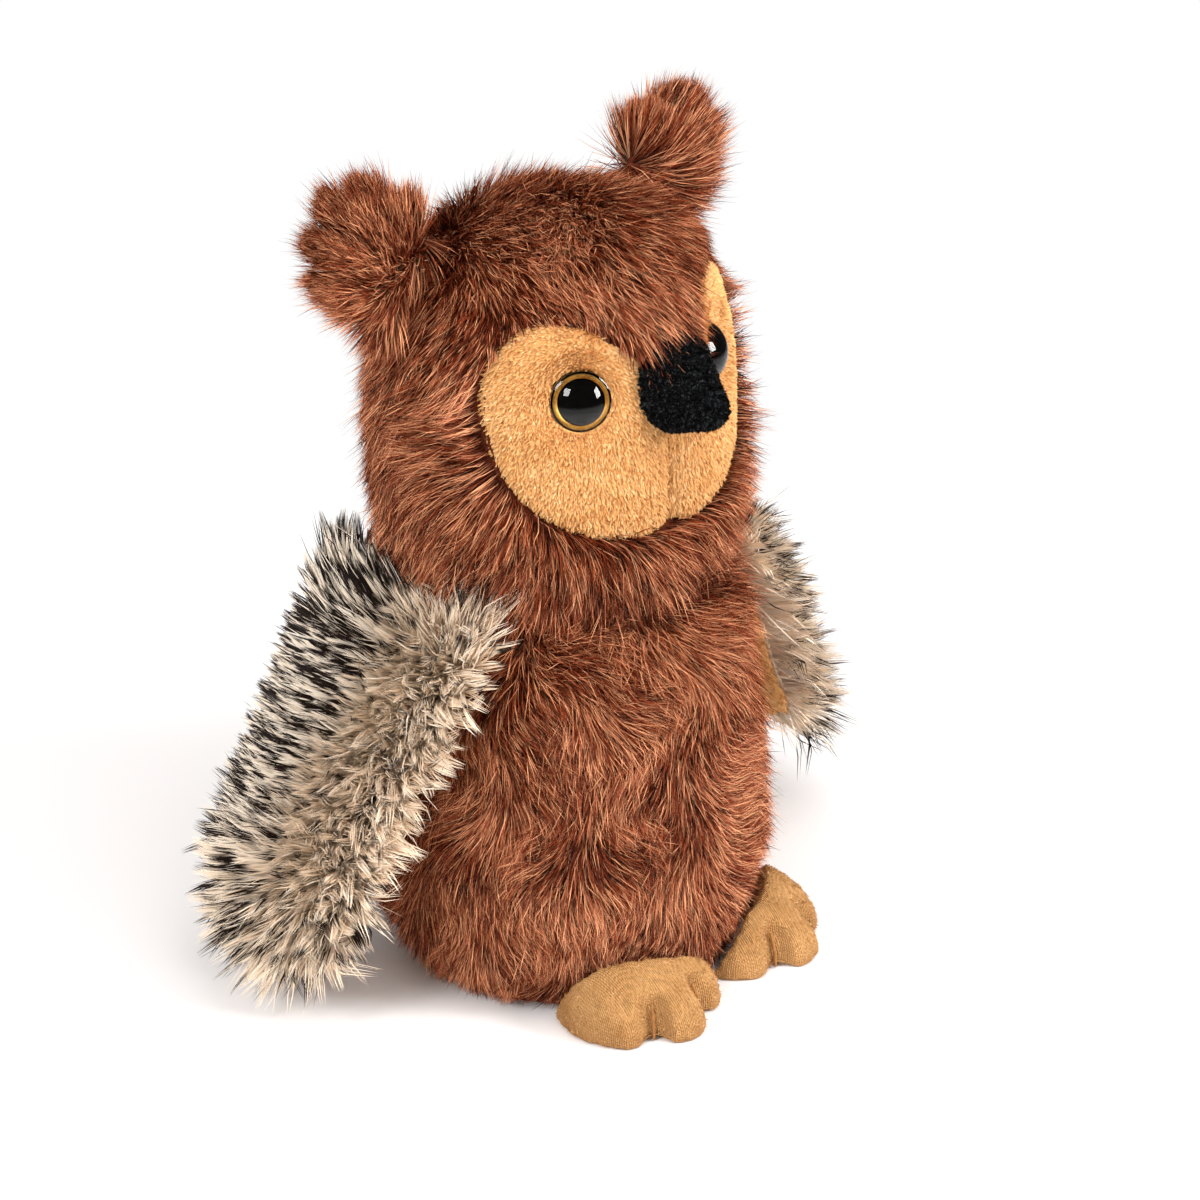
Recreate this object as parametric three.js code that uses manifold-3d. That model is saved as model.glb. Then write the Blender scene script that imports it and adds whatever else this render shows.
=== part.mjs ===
// Plush owl: a stuffed toy that stands on a flat base, with sewn-on wings, ear tufts and feet.
// Millimetres, +Z up. The owl faces -Y, and the origin is the middle of its base.
import * as THREE from "three";
import { mergeVertices } from "three/addons/utils/BufferGeometryUtils.js";
import Module from "manifold-3d";

const wasm = await Module();
wasm.setup();

// Cloth and seams
const LONG_PILE = 4.5; // combed brown fur cloth, backing included
const SHORT_PILE = 2; // face, beak and foot cloth
const SEAM_GAP = 0.3; // kept between neighbouring pieces

// Body, across the backing cloth
const BODY_WIDTH = 95;
const BODY_DEPTH = 95;
const BELLY_HEIGHT = 42;
const BASE_WIDTH = 80;
const NECK_WIDTH = 72;
const NECK_HEIGHT = 109;
const BASE_THICKNESS = 2;
const PELLET_BAG_WIDTH = 60;
const PELLET_BAG_HEIGHT = 16;

// Head and face, measured up from the neck seam
const HEAD_WIDTH = 92;
const HEAD_DEPTH = 77;
const HEAD_HEIGHT = 93;
const FACE_WIDTH = 84; // across both lobes
const FACE_SIDE = 54; // height of the widest place
const FACE_PEAK_SPACING = 54; // between the tops of the lobes
const FACE_TOP = 75.5;
const FACE_BROW = 59; // where the forehead fur meets the beak
const FACE_CHIN = 19;

// Eyes
const EYE_DIAMETER = 15;
const EYE_SPACING = 48;
const EYE_HEIGHT = 56.5; // above the neck seam
const EYE_TURN = 8; // degrees outward from the face
const SOCKET_DEPTH = 5.4; // how far the stem draws the face in
const SOCKET_RADIUS = 22; // of the hollow round the eye
const EYE_SINK = 0.2; // how far the eye presses into the cloth
const EYE_DOME = 4.2;
const IRIS_WIDTH = 2.4;
const IRIS_THICKNESS = 0.4;
const EYE_BACK = 1;
const STEM_DIAMETER = 4;
const STEM_LENGTH = 12;
const WASHER_DIAMETER = 12;
const WASHER_THICKNESS = 1.5;

// Beak
const BEAK_WIDTH = 23;
const BEAK_DEPTH = 22; // top to bottom at the face
const BEAK_LENGTH = 18.5;
const BEAK_POINT = 1.2; // 1 is a round end, and more is a sharper one
const BEAK_HEIGHT = 58; // above the neck seam
const BEAK_DROOP = 20; // degrees below level

// Ear tufts
const EAR_WIDTH = 30;
const EAR_LENGTH = 30;
const EAR_THICKNESS = 14;
const EAR_LIFT = 42; // degrees above level, seen from the middle of the head
const EAR_SETBACK = 12; // degrees behind the side of the head
const EAR_FOLD = 25; // degrees each way

// Wings
const WING_LENGTH = 104;
const WING_ROOT_WIDTH = 68;
const WING_TIP_WIDTH = 54;
const WING_PILE = 15; // standing fur, backing included
const WING_LINING = 3;
const WING_ROOT_DROP = 1.5; // below the neck seam
const WING_TOP_SLOPE = 20; // degrees that the fur falls outward at the root, clear of the head
const WING_CUP_RADIUS = 150;
const WING_FOLD = 6; // degrees of swing inward
const WING_RAISE = 50; // degrees of swing outward
// How each wing lies: its degrees from hanging straight down, and how far back its root and its tip are set
const RIGHT_WING = { spread: 20, setback: 11, sweep: 20 };
const LEFT_WING = { spread: 30, setback: 14, sweep: 10 };

// Feet
const FOOT_WIDTH = 43;
const FOOT_LENGTH = 44;
const FOOT_HEIGHT = 21;
const TOE_HEIGHT = 16;
const TOE_SPREAD = 58; // degrees between the two notches
const TOE_NOTCH = 0.2; // depth of a notch as a share of the foot's reach there
const TOE_ROUND = 10; // degrees, how wide a notch opens
const FOOT_SPACING = 45;
const FOOT_HEEL = 28; // how far the foot runs under the body
const FOOT_TOE_OUT = 8; // degrees
const FEET_TURN = 5; // degrees that the body and feet are turned to the left of the face
const FOOT_LIFT = 20; // degrees
const FOOT_HINGE_HEIGHT = 16; // of the seam that holds the foot
const SOLE_THICKNESS = 1.8;
const STITCH_DIAMETER = 0.9;

const SIDES = [
  { name: "right", sign: -1, wing: RIGHT_WING },
  { name: "left", sign: 1, wing: LEFT_WING },
];
const EVERYWHERE = 400;

const radians = THREE.MathUtils.degToRad;
const mix = THREE.MathUtils.lerp;

function cloth(color) {
  return new THREE.MeshStandardMaterial({ color, roughness: 0.95, metalness: 0 });
}

const materials = {
  brownFur: cloth("#7c4130"),
  tanVelour: cloth("#dda667"),
  blackFleece: cloth("#1a1b1b"),
  wingFur: cloth("#a08a78"),
  tanKnit: cloth("#d39a63"),
  baseCloth: cloth("#6f3b2b"),
  filling: cloth("#f3f1ec"),
  pelletCloth: cloth("#d9d6cf"),
  thread: cloth("#b47a45"),
  clearPlastic: new THREE.MeshStandardMaterial({ color: "#1b1512", roughness: 0.06, metalness: 0 }),
  goldPaint: new THREE.MeshStandardMaterial({ color: "#b07a1c", roughness: 0.35, metalness: 0.6 }),
  blackPlastic: new THREE.MeshStandardMaterial({ color: "#0c0a09", roughness: 0.3, metalness: 0 }),
  whitePlastic: new THREE.MeshStandardMaterial({ color: "#e8e6e0", roughness: 0.5, metalness: 0 }),
};

// A three.js geometry as a closed solid that can be joined and cut.
function solid(geometry) {
  const bare = geometry.clone();
  bare.deleteAttribute("normal");
  bare.deleteAttribute("uv");
  const merged = mergeVertices(bare, 1e-4);
  const vertProperties = new Float32Array(merged.attributes.position.array);
  const triVerts = new Uint32Array(merged.index.array);
  return new wasm.Manifold(new wasm.Mesh({ numProp: 3, vertProperties, triVerts }));
}

function addPiece(parent, name, made, material) {
  const { vertProperties, triVerts } = made.getMesh();
  const geometry = new THREE.BufferGeometry();
  geometry.setAttribute("position", new THREE.BufferAttribute(vertProperties, 3));
  geometry.setIndex(new THREE.BufferAttribute(triVerts, 1));
  geometry.computeVertexNormals();
  const mesh = new THREE.Mesh(geometry, material.clone());
  mesh.name = name;
  parent.add(mesh);
}

// Everything between the given limits, for trimming.
function between({ x = [], y = [], z = [] }) {
  const limits = [x, y, z].map(([low = -EVERYWHERE, high = EVERYWHERE]) => [low, high]);
  const size = limits.map(([low, high]) => high - low);
  const middle = limits.map(([low, high]) => (low + high) / 2);
  return solid(new THREE.BoxGeometry(...size).translate(...middle));
}

// A shape turned round +Z from [radius, height] points that run upward from axis to axis.
function turned(points, sides) {
  const profile = points.map(([radius, height]) => new THREE.Vector2(radius, height));
  return new THREE.LatheGeometry(profile, sides).rotateX(Math.PI / 2);
}

function rod(diameter, low, high, sides = 20) {
  const radius = diameter / 2;
  return turned([[0, low], [radius, low], [radius, high], [0, high]], sides);
}

// A stuffed form: a profile curve turned round +Z, moved out by offset and drawn to its depth.
function stuffed(profile, depthRatio, offset, rings, sides) {
  const points = [];
  for (let ring = 0; ring <= rings; ring++) {
    const at = profile.getPoint(ring / rings);
    const along = profile.getTangent(ring / rings);
    points.push([Math.max(at.x + along.y * offset, 0), at.y - along.x * offset]);
  }
  const closed = [[0, points[0][1]], ...points, [0, points.at(-1)[1]]];
  return turned(closed, sides).scale(1, depthRatio, 1);
}

// Radius of a rising profile at a height, by halving.
function radiusAt(profile, height) {
  let low = 0;
  let high = 1;
  for (let step = 0; step < 40; step++) {
    const middle = (low + high) / 2;
    if (profile.getPoint(middle).y < height) low = middle;
    else high = middle;
  }
  return profile.getPoint(low).x;
}

// An outline moved inward along its normals. It runs counter-clockwise.
function inset(outline, distance) {
  return outline.map((point, i) => {
    const before = outline.at(i - 1);
    const after = outline[(i + 1) % outline.length];
    const along = after.clone().sub(before).normalize();
    return new THREE.Vector2(point.x - along.y * distance, point.y + along.x * distance);
  });
}

function mirroredOutline(outline, sign) {
  if (sign > 0) return outline;
  return outline.map((point) => new THREE.Vector2(-point.x, point.y)).reverse();
}

// A cushion over an outline in XY: its rings draw in to the middle and swell up and down.
function cushion(outline, middle, up, down, rings) {
  const count = outline.length;
  const points = outline.map((point) => [point.x, point.y, 0]);
  const faces = [];
  for (const [height, turn] of [[up, 1], [down, -1]]) {
    let rim = 0;
    const addFace = (a, b, c) => faces.push(...(turn > 0 ? [a, b, c] : [a, c, b]));
    for (let ring = 1; ring < rings; ring++) {
      const angle = (ring / rings) * (Math.PI / 2);
      const start = points.length;
      outline.forEach((point, i) => {
        const at = point.clone().sub(middle).multiplyScalar(Math.cos(angle)).add(middle);
        points.push([at.x, at.y, turn * height(at) * Math.sin(angle)]);
        const next = (i + 1) % count;
        addFace(rim + i, rim + next, start + next);
        addFace(rim + i, start + next, start + i);
      });
      rim = start;
    }
    const top = points.push([middle.x, middle.y, turn * height(middle)]) - 1;
    outline.forEach((_, i) => addFace(rim + i, rim + ((i + 1) % count), top));
  }
  const geometry = new THREE.BufferGeometry();
  geometry.setAttribute("position", new THREE.Float32BufferAttribute(points.flat(), 3));
  return geometry.setIndex(faces);
}

// A piece with its carrier cut away at rest and at steps of its swing about an axis through the origin.
function clearOfSwing(made, carrier, axis, degrees) {
  return degrees.reduce((left, angle) => {
    const turn = new THREE.Matrix4().makeRotationAxis(axis, -radians(angle));
    return left.subtract(solid(carrier.clone().applyMatrix4(turn)));
  }, made);
}

const owl = new THREE.Group();

// Body
const bodyProfile = new THREE.SplineCurve([
  new THREE.Vector2(BASE_WIDTH / 2 - 3, -6),
  new THREE.Vector2(BASE_WIDTH / 2, 0),
  new THREE.Vector2(mix(BASE_WIDTH, BODY_WIDTH, 0.78) / 2, BELLY_HEIGHT * 0.36),
  new THREE.Vector2(BODY_WIDTH / 2, BELLY_HEIGHT),
  new THREE.Vector2(mix(BODY_WIDTH, NECK_WIDTH, 0.32) / 2, mix(BELLY_HEIGHT, NECK_HEIGHT, 0.6)),
  new THREE.Vector2(NECK_WIDTH / 2, NECK_HEIGHT),
  new THREE.Vector2(NECK_WIDTH / 2 - 4, NECK_HEIGHT + 10),
]);
const bodyDepthRatio = BODY_DEPTH / BODY_WIDTH;

function bodyForm(offset) {
  return stuffed(bodyProfile, bodyDepthRatio, offset, 11, 26);
}

function buildBody() {
  const neck = NECK_HEIGHT - SEAM_GAP / 2;
  const cover = solid(bodyForm(LONG_PILE)).subtract(solid(bodyForm(0))).intersect(between({ z: [0, neck] }));
  const front = cover.intersect(between({ y: [-EVERYWHERE, -SEAM_GAP / 2] }));
  const back = cover.intersect(between({ y: [SEAM_GAP / 2, EVERYWHERE] }));
  addPiece(owl, "body_front_panel", front, materials.brownFur);
  addPiece(owl, "body_back_panel", back, materials.brownFur);

  const inside = solid(bodyForm(-SEAM_GAP));
  const base = inside.intersect(between({ z: [0, BASE_THICKNESS] }));
  addPiece(owl, "base_panel", base, materials.baseCloth);

  const bagFloor = BASE_THICKNESS + SEAM_GAP;
  const bag = (grow) => {
    const points = [];
    for (let step = 0; step <= 8; step++) {
      const angle = mix(-Math.PI / 2, Math.PI / 2, step / 8);
      const radius = (PELLET_BAG_WIDTH / 2 + grow) * Math.cos(angle) ** 0.6;
      const height = (PELLET_BAG_HEIGHT / 2 + grow) * Math.sin(angle);
      points.push([step % 8 ? radius : 0, bagFloor + PELLET_BAG_HEIGHT / 2 + height]);
    }
    return solid(turned(points, 20));
  };
  addPiece(owl, "pellet_bag", bag(0), materials.pelletCloth);
  const filling = inside.intersect(between({ z: [bagFloor, neck] })).subtract(bag(SEAM_GAP));
  addPiece(owl, "body_filling", filling, materials.filling);
}

// Head: its group's origin is the middle of the neck seam
const head = new THREE.Group();
head.position.z = NECK_HEIGHT;
owl.add(head);

const headProfile = new THREE.SplineCurve([
  new THREE.Vector2(NECK_WIDTH / 2 - 9, -8),
  new THREE.Vector2(NECK_WIDTH / 2, 0),
  new THREE.Vector2(mix(NECK_WIDTH, HEAD_WIDTH, 0.66) / 2, HEAD_HEIGHT * 0.09),
  new THREE.Vector2(mix(NECK_WIDTH, HEAD_WIDTH, 0.94) / 2, HEAD_HEIGHT * 0.23),
  new THREE.Vector2(HEAD_WIDTH / 2, HEAD_HEIGHT * 0.45),
  new THREE.Vector2(HEAD_WIDTH * 0.488, HEAD_HEIGHT * 0.62),
  new THREE.Vector2(HEAD_WIDTH * 0.43, HEAD_HEIGHT * 0.8),
  new THREE.Vector2(HEAD_WIDTH * 0.285, HEAD_HEIGHT * 0.94),
  new THREE.Vector2(0, HEAD_HEIGHT),
]);
const headDepthRatio = HEAD_DEPTH / HEAD_WIDTH;

function headForm(offset) {
  return stuffed(headProfile, headDepthRatio, offset, 14, 26);
}

// The left lobe of the face, seen from the front.
function faceOutline() {
  const side = FACE_WIDTH / 2;
  const peak = FACE_PEAK_SPACING / 2;
  const lobe = new THREE.Shape();
  lobe.moveTo(0, FACE_CHIN);
  lobe.bezierCurveTo(side * 0.62, FACE_CHIN - 1, side, FACE_SIDE - 26, side, FACE_SIDE);
  lobe.bezierCurveTo(side, FACE_SIDE + 13, peak + 8, FACE_TOP, peak, FACE_TOP);
  lobe.bezierCurveTo(peak * 0.62, FACE_TOP, peak * 0.4, FACE_BROW + 3, 0, FACE_BROW);
  return lobe.getPoints(9);
}

// Both lobes as one outline.
function wholeFaceOutline() {
  const left = faceOutline();
  const right = left.slice(1, -1).map((point) => new THREE.Vector2(-point.x, point.y));
  return [...left, ...right.reverse()];
}

// Everything in front of an outline of the face.
function facePrism(outline) {
  const options = { depth: HEAD_DEPTH, bevelEnabled: false };
  return new THREE.ExtrudeGeometry(new THREE.Shape(outline), options).rotateX(Math.PI / 2);
}

// A point of the face cloth, and the way it faces there.
function onFace(x, z) {
  const radius = radiusAt(headProfile, z) + SHORT_PILE;
  const slope = radiusAt(headProfile, z - 1) - radiusAt(headProfile, z + 1);
  const y = -Math.sqrt(radius ** 2 - x ** 2) * headDepthRatio;
  const facing = new THREE.Vector3(x / radius, y / (radius * headDepthRatio ** 2), slope / 2);
  return { position: new THREE.Vector3(x, y, z), facing: facing.normalize() };
}

// An eye's group: its origin is the bottom of the hollow that its stem draws in, and its +Z points outward.
function eyeGroup(sign) {
  const { position, facing } = onFace((sign * EYE_SPACING) / 2, EYE_HEIGHT);
  const group = new THREE.Group();
  group.position.copy(position).addScaledVector(facing, -SOCKET_DEPTH);
  facing.applyAxisAngle(new THREE.Vector3(0, 0, 1), sign * radians(EYE_TURN));
  group.quaternion.setFromUnitVectors(new THREE.Vector3(0, 0, 1), facing);
  group.updateMatrix();
  head.add(group);
  return group;
}

// The round hollow in the face cloth at an eye, made wider by a distance.
function eyeHollow(group, wider) {
  const radius = SOCKET_RADIUS + wider;
  const points = [];
  for (let step = 0; step <= 18; step++) {
    const angle = mix(-Math.PI / 2, Math.PI / 2, step / 18);
    points.push([step % 18 ? radius * Math.cos(angle) : 0, SOCKET_RADIUS + radius * Math.sin(angle)]);
  }
  return solid(turned(points, 28).applyMatrix4(group.matrix));
}

// Levels along an eye's axis, from the cloth surface
const eyeFloor = -EYE_SINK;
const irisFloor = eyeFloor + SEAM_GAP + EYE_BACK + SEAM_GAP;
const lensFloor = irisFloor + IRIS_THICKNESS + SEAM_GAP;
const washerTop = -SHORT_PILE - SEAM_GAP;
const washerFloor = washerTop - WASHER_THICKNESS;
const stemEnd = eyeFloor - STEM_LENGTH;

function buildEye(group, name) {
  const radius = EYE_DIAMETER / 2;
  const dome = [[0, lensFloor], [radius, lensFloor]];
  for (let step = 1; step <= 6; step++) {
    const angle = (step / 6) * (Math.PI / 2);
    const across = step < 6 ? radius * Math.cos(angle) ** 0.8 : 0;
    dome.push([across, lensFloor + EYE_DOME * mix(0.16, 1, Math.sin(angle))]);
  }
  addPiece(group, name + "_eye_lens", solid(turned(dome, 24)), materials.clearPlastic);

  const pupil = EYE_DIAMETER - 2 * IRIS_WIDTH;
  const iris = solid(rod(EYE_DIAMETER, irisFloor, irisFloor + IRIS_THICKNESS, 24))
    .subtract(solid(rod(pupil, -EVERYWHERE, EVERYWHERE, 24)));
  addPiece(group, name + "_eye_iris", iris, materials.goldPaint);

  const backFloor = eyeFloor + SEAM_GAP;
  const stem = solid(rod(EYE_DIAMETER, backFloor, backFloor + EYE_BACK, 24))
    .add(solid(rod(pupil - 2 * SEAM_GAP, backFloor, irisFloor + IRIS_THICKNESS, 24)))
    .add(solid(rod(STEM_DIAMETER, stemEnd, backFloor + EYE_BACK)));
  addPiece(group, name + "_eye_stem", stem, materials.blackPlastic);

  const washer = solid(rod(WASHER_DIAMETER, washerFloor, washerTop))
    .subtract(solid(rod(STEM_DIAMETER + 2 * SEAM_GAP, -EVERYWHERE, EVERYWHERE)));
  addPiece(group, name + "_eye_washer", washer, materials.whitePlastic);
}

// What an eye needs open in the face cloth and in the filling behind it.
function eyeSeat(group) {
  const place = (geometry) => solid(geometry.applyMatrix4(group.matrix));
  const inCloth = place(rod(EYE_DIAMETER + 2 * SEAM_GAP, eyeFloor, EYE_DIAMETER, 24))
    .add(place(rod(STEM_DIAMETER + 2 * SEAM_GAP, stemEnd, EYE_DIAMETER)));
  const inFilling = place(rod(WASHER_DIAMETER + 2 * SEAM_GAP, washerFloor - SEAM_GAP, EYE_DIAMETER))
    .add(place(rod(STEM_DIAMETER + 2 * SEAM_GAP, stemEnd - SEAM_GAP, EYE_DIAMETER)));
  return { inCloth, inFilling };
}

function buildHead() {
  const neck = between({ z: [SEAM_GAP / 2, EVERYWHERE] });
  const fur = solid(headForm(LONG_PILE)).subtract(solid(headForm(0))).intersect(neck);
  const eyes = SIDES.map(({ sign }) => eyeGroup(sign));
  const drawnIn = (offset) => eyes.reduce(
    (left, eye) => left.subtract(eyeHollow(eye, SHORT_PILE - offset)),
    solid(headForm(offset)),
  );
  const velour = drawnIn(SHORT_PILE).subtract(drawnIn(0)).intersect(neck);
  let filling = drawnIn(-SEAM_GAP).intersect(neck);
  for (const [index, { name, sign }] of SIDES.entries()) {
    const halfLimits = sign > 0 ? [SEAM_GAP / 2, EVERYWHERE] : [-EVERYWHERE, -SEAM_GAP / 2];
    const half = between({ x: halfLimits });
    const outline = mirroredOutline(faceOutline(), sign);
    const panel = fur.intersect(half).subtract(solid(facePrism(outline)));
    addPiece(head, name + "_head_panel", panel, materials.brownFur);

    buildEye(eyes[index], name);
    const seat = eyeSeat(eyes[index]);
    const lobe = solid(facePrism(inset(outline, SEAM_GAP)));
    const face = velour.intersect(half).intersect(lobe).subtract(seat.inCloth);
    addPiece(head, name + "_face_panel", face, materials.tanVelour);
    filling = filling.subtract(seat.inFilling);
  }
  addPiece(head, "head_filling", filling, materials.filling);
}

// Beak: +Z of its group runs out along the beak
function buildBeak() {
  const group = new THREE.Group();
  group.position.copy(onFace(0, BEAK_HEIGHT).position);
  group.rotation.x = Math.PI / 2 + radians(BEAK_DROOP);
  group.updateMatrix();
  head.add(group);

  const rootDepth = BEAK_DEPTH / 2;
  const form = (shrink) => {
    const radius = BEAK_WIDTH / 2 - shrink;
    const points = [[0, -rootDepth], [radius, -rootDepth]];
    for (let step = 0; step <= 6; step++) {
      const angle = (step / 6) * (Math.PI / 2);
      const across = step < 6 ? radius * Math.cos(angle) ** BEAK_POINT : 0;
      points.push([across, (BEAK_LENGTH - shrink) * Math.sin(angle)]);
    }
    const heightRatio = (BEAK_DEPTH / 2 - shrink) / radius;
    return solid(turned(points, 20).scale(1, heightRatio, 1));
  };
  const toBeak = group.matrix.clone().invert();
  const face = solid(headForm(SHORT_PILE + SEAM_GAP).applyMatrix4(toBeak));
  const fur = solid(headForm(LONG_PILE + SEAM_GAP).applyMatrix4(toBeak));
  const openFace = solid(facePrism(inset(wholeFaceOutline(), SEAM_GAP)).applyMatrix4(toBeak));
  const seat = fur.subtract(openFace).add(face);
  const cover = form(0).subtract(form(SHORT_PILE)).subtract(seat);
  addPiece(group, "beak_cover", cover, materials.blackFleece);
  addPiece(group, "beak_filling", form(SHORT_PILE + SEAM_GAP).subtract(seat), materials.filling);
}

// Ear tufts: +Z of an ear's group runs out of the head, +X along its root seam, +Y to the back
function buildEar({ name, sign }) {
  const out = new THREE.Vector3(
    sign * Math.cos(radians(EAR_LIFT)) * Math.cos(radians(EAR_SETBACK)),
    Math.cos(radians(EAR_LIFT)) * Math.sin(radians(EAR_SETBACK)),
    Math.sin(radians(EAR_LIFT)),
  );
  const middle = new THREE.Vector3(0, 0, HEAD_HEIGHT * 0.48);
  let near = 0;
  let far = HEAD_WIDTH;
  for (let step = 0; step < 40; step++) {
    const reach = (near + far) / 2;
    const at = out.clone().multiplyScalar(reach).add(middle);
    const radius = at.z < HEAD_HEIGHT ? radiusAt(headProfile, at.z) : 0;
    if (Math.hypot(at.x, at.y / headDepthRatio) < radius) near = reach;
    else far = reach;
  }
  const across = new THREE.Vector3(0, 1, 0).cross(out).normalize();
  const back = out.clone().cross(across);
  const group = new THREE.Group();
  group.position.copy(out).multiplyScalar(near + LONG_PILE + SEAM_GAP).add(middle);
  group.quaternion.setFromRotationMatrix(new THREE.Matrix4().makeBasis(across, back, out));
  group.updateMatrix();
  head.add(group);

  const half = EAR_WIDTH / 2;
  const tuft = new THREE.Shape();
  tuft.moveTo(-half * 0.85, -2);
  tuft.lineTo(half * 0.85, -2);
  tuft.bezierCurveTo(half * 1.15, EAR_LENGTH * 0.35, half, EAR_LENGTH * 0.7, half * 0.45, EAR_LENGTH * 0.9);
  tuft.bezierCurveTo(half * 0.2, EAR_LENGTH, -half * 0.2, EAR_LENGTH, -half * 0.45, EAR_LENGTH * 0.9);
  tuft.bezierCurveTo(-half, EAR_LENGTH * 0.7, -half * 1.15, EAR_LENGTH * 0.35, -half * 0.85, -2);
  const outline = tuft.getPoints(6).slice(0, -1);
  const belly = new THREE.Vector2(0, EAR_LENGTH * 0.45);
  const swell = () => EAR_THICKNESS / 2;
  const flat = () => 0;
  const headAtEar = headForm(LONG_PILE + SEAM_GAP).applyMatrix4(group.matrix.clone().invert());
  const swing = [-EAR_FOLD, -EAR_FOLD / 2, 0, EAR_FOLD / 2, EAR_FOLD];
  const axis = new THREE.Vector3(1, 0, 0);
  for (const [face, turn] of [["front", 1], ["back", -1]]) {
    const panel = cushion(outline, belly, turn > 0 ? swell : flat, turn > 0 ? flat : swell, 4)
      .rotateX(Math.PI / 2)
      .translate(0, (-turn * SEAM_GAP) / 2, 0);
    const cut = clearOfSwing(solid(panel), headAtEar, axis, swing);
    addPiece(group, `${name}_ear_${face}_panel`, cut, materials.brownFur);
  }
}

// Wings: a wing's group has its origin on the root seam, +X outward, +Y back and the wing along -Z
function wingOutline(sweep) {
  const root = WING_ROOT_WIDTH / 2;
  const front = sweep - WING_TIP_WIDTH / 2;
  const back = sweep + WING_TIP_WIDTH / 2;
  const bend = -WING_LENGTH * 0.82;
  const end = -WING_LENGTH * 1.05;
  const wing = new THREE.Shape();
  wing.moveTo(-root, 0);
  wing.bezierCurveTo(-root + 3, -WING_LENGTH * 0.35, front, -WING_LENGTH * 0.6, front, bend);
  wing.bezierCurveTo(front, end, back, end, back, bend);
  wing.bezierCurveTo(back, -WING_LENGTH * 0.5, root + 3, -WING_LENGTH * 0.3, root, 0);
  return wing.getPoints(7);
}

function buildWing({ name, sign, wing }) {
  const group = new THREE.Group();
  const rootHeight = NECK_HEIGHT - WING_ROOT_DROP;
  const reach = radiusAt(bodyProfile, rootHeight) + LONG_PILE + WING_LINING;
  group.position.set(sign * reach, wing.setback, rootHeight);
  group.rotation.y = -sign * radians(wing.spread);
  group.updateMatrix();
  owl.add(group);

  const outline = wingOutline(wing.sweep);
  const belly = new THREE.Vector2(wing.sweep * 0.5, -WING_LENGTH * 0.55);
  const flat = () => 0;
  const form = (up, down, shift) => {
    const geometry = cushion(outline, belly, up, down, 5);
    const place = geometry.attributes.position;
    for (let i = 0; i < place.count; i++) {
      const back = place.getX(i);
      const outward = place.getZ(i) + shift - back ** 2 / (2 * WING_CUP_RADIUS);
      place.setXYZ(i, sign * outward, back, place.getY(i));
    }
    if (sign < 0) geometry.setIndex(Array.from(geometry.index.array).reverse());
    return solid(geometry);
  };
  const toWing = group.matrix.clone().invert();
  const trunk = bodyForm(LONG_PILE + SEAM_GAP).applyMatrix4(toWing);
  const turningHead = stuffed(headProfile, 1, LONG_PILE + SEAM_GAP, 10, 24)
    .translate(0, 0, NECK_HEIGHT)
    .applyMatrix4(toWing);
  const axis = new THREE.Vector3(0, -sign, 0);
  const swing = [-WING_FOLD, 0, WING_RAISE / 3, (WING_RAISE * 2) / 3, WING_RAISE];
  const belowRoot = between({ z: [-EVERYWHERE, 0] }).rotate([0, sign * WING_TOP_SLOPE, 0]);
  const fitted = (made) => {
    const lowered = made.intersect(belowRoot);
    return clearOfSwing(clearOfSwing(lowered, trunk, axis, swing), turningHead, axis, swing);
  };
  const outer = form(() => WING_PILE, flat, 0);
  const lining = form(flat, () => WING_LINING, -SEAM_GAP);
  addPiece(group, name + "_wing_outer", fitted(outer), materials.wingFur);
  addPiece(group, name + "_wing_lining", fitted(lining), materials.tanVelour);
}

const footSeam = radiusAt(bodyProfile, FOOT_HINGE_HEIGHT) + LONG_PILE + SEAM_GAP;
const footAround = Math.asin(FOOT_SPACING / 2 / footSeam);
const footMiddle = FOOT_HEEL - FOOT_LENGTH / 2;
const footFloor = SOLE_THICKNESS + SEAM_GAP;

// Feet: toes along -Y of the foot's group, with the origin on the seam at the top of the heel.
// Reach of the foot's edge from its middle, turned from the toes by an angle in degrees.
function footEdge(fromToes) {
  const notch = TOE_NOTCH * Math.exp(-(((Math.abs(fromToes) - TOE_SPREAD / 2) / TOE_ROUND) ** 2));
  const x = (FOOT_WIDTH / 2) * Math.sin(radians(fromToes));
  const y = (FOOT_LENGTH / 2) * -Math.cos(radians(fromToes));
  return new THREE.Vector2(x, y).multiplyScalar(1 - notch);
}

function footOutline() {
  const points = [];
  const turns = [[-TOE_SPREAD / 2, TOE_SPREAD / 2, 8], [TOE_SPREAD / 2, 360 - TOE_SPREAD / 2, 30]];
  for (const [from, to, steps] of turns) {
    for (let step = 0; step < steps; step++) {
      const turn = mix(from, to, step / steps);
      const edge = footEdge(turn > 180 ? turn - 360 : turn);
      points.push(edge.add(new THREE.Vector2(0, footMiddle)));
    }
  }
  return points;
}

// Height of the foot over the sole, at a point counted from its middle.
function footSwell(at) {
  return mix(TOE_HEIGHT, FOOT_HEIGHT, THREE.MathUtils.smoothstep(at.y, -FOOT_LENGTH / 2, 2)) - footFloor;
}

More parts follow.
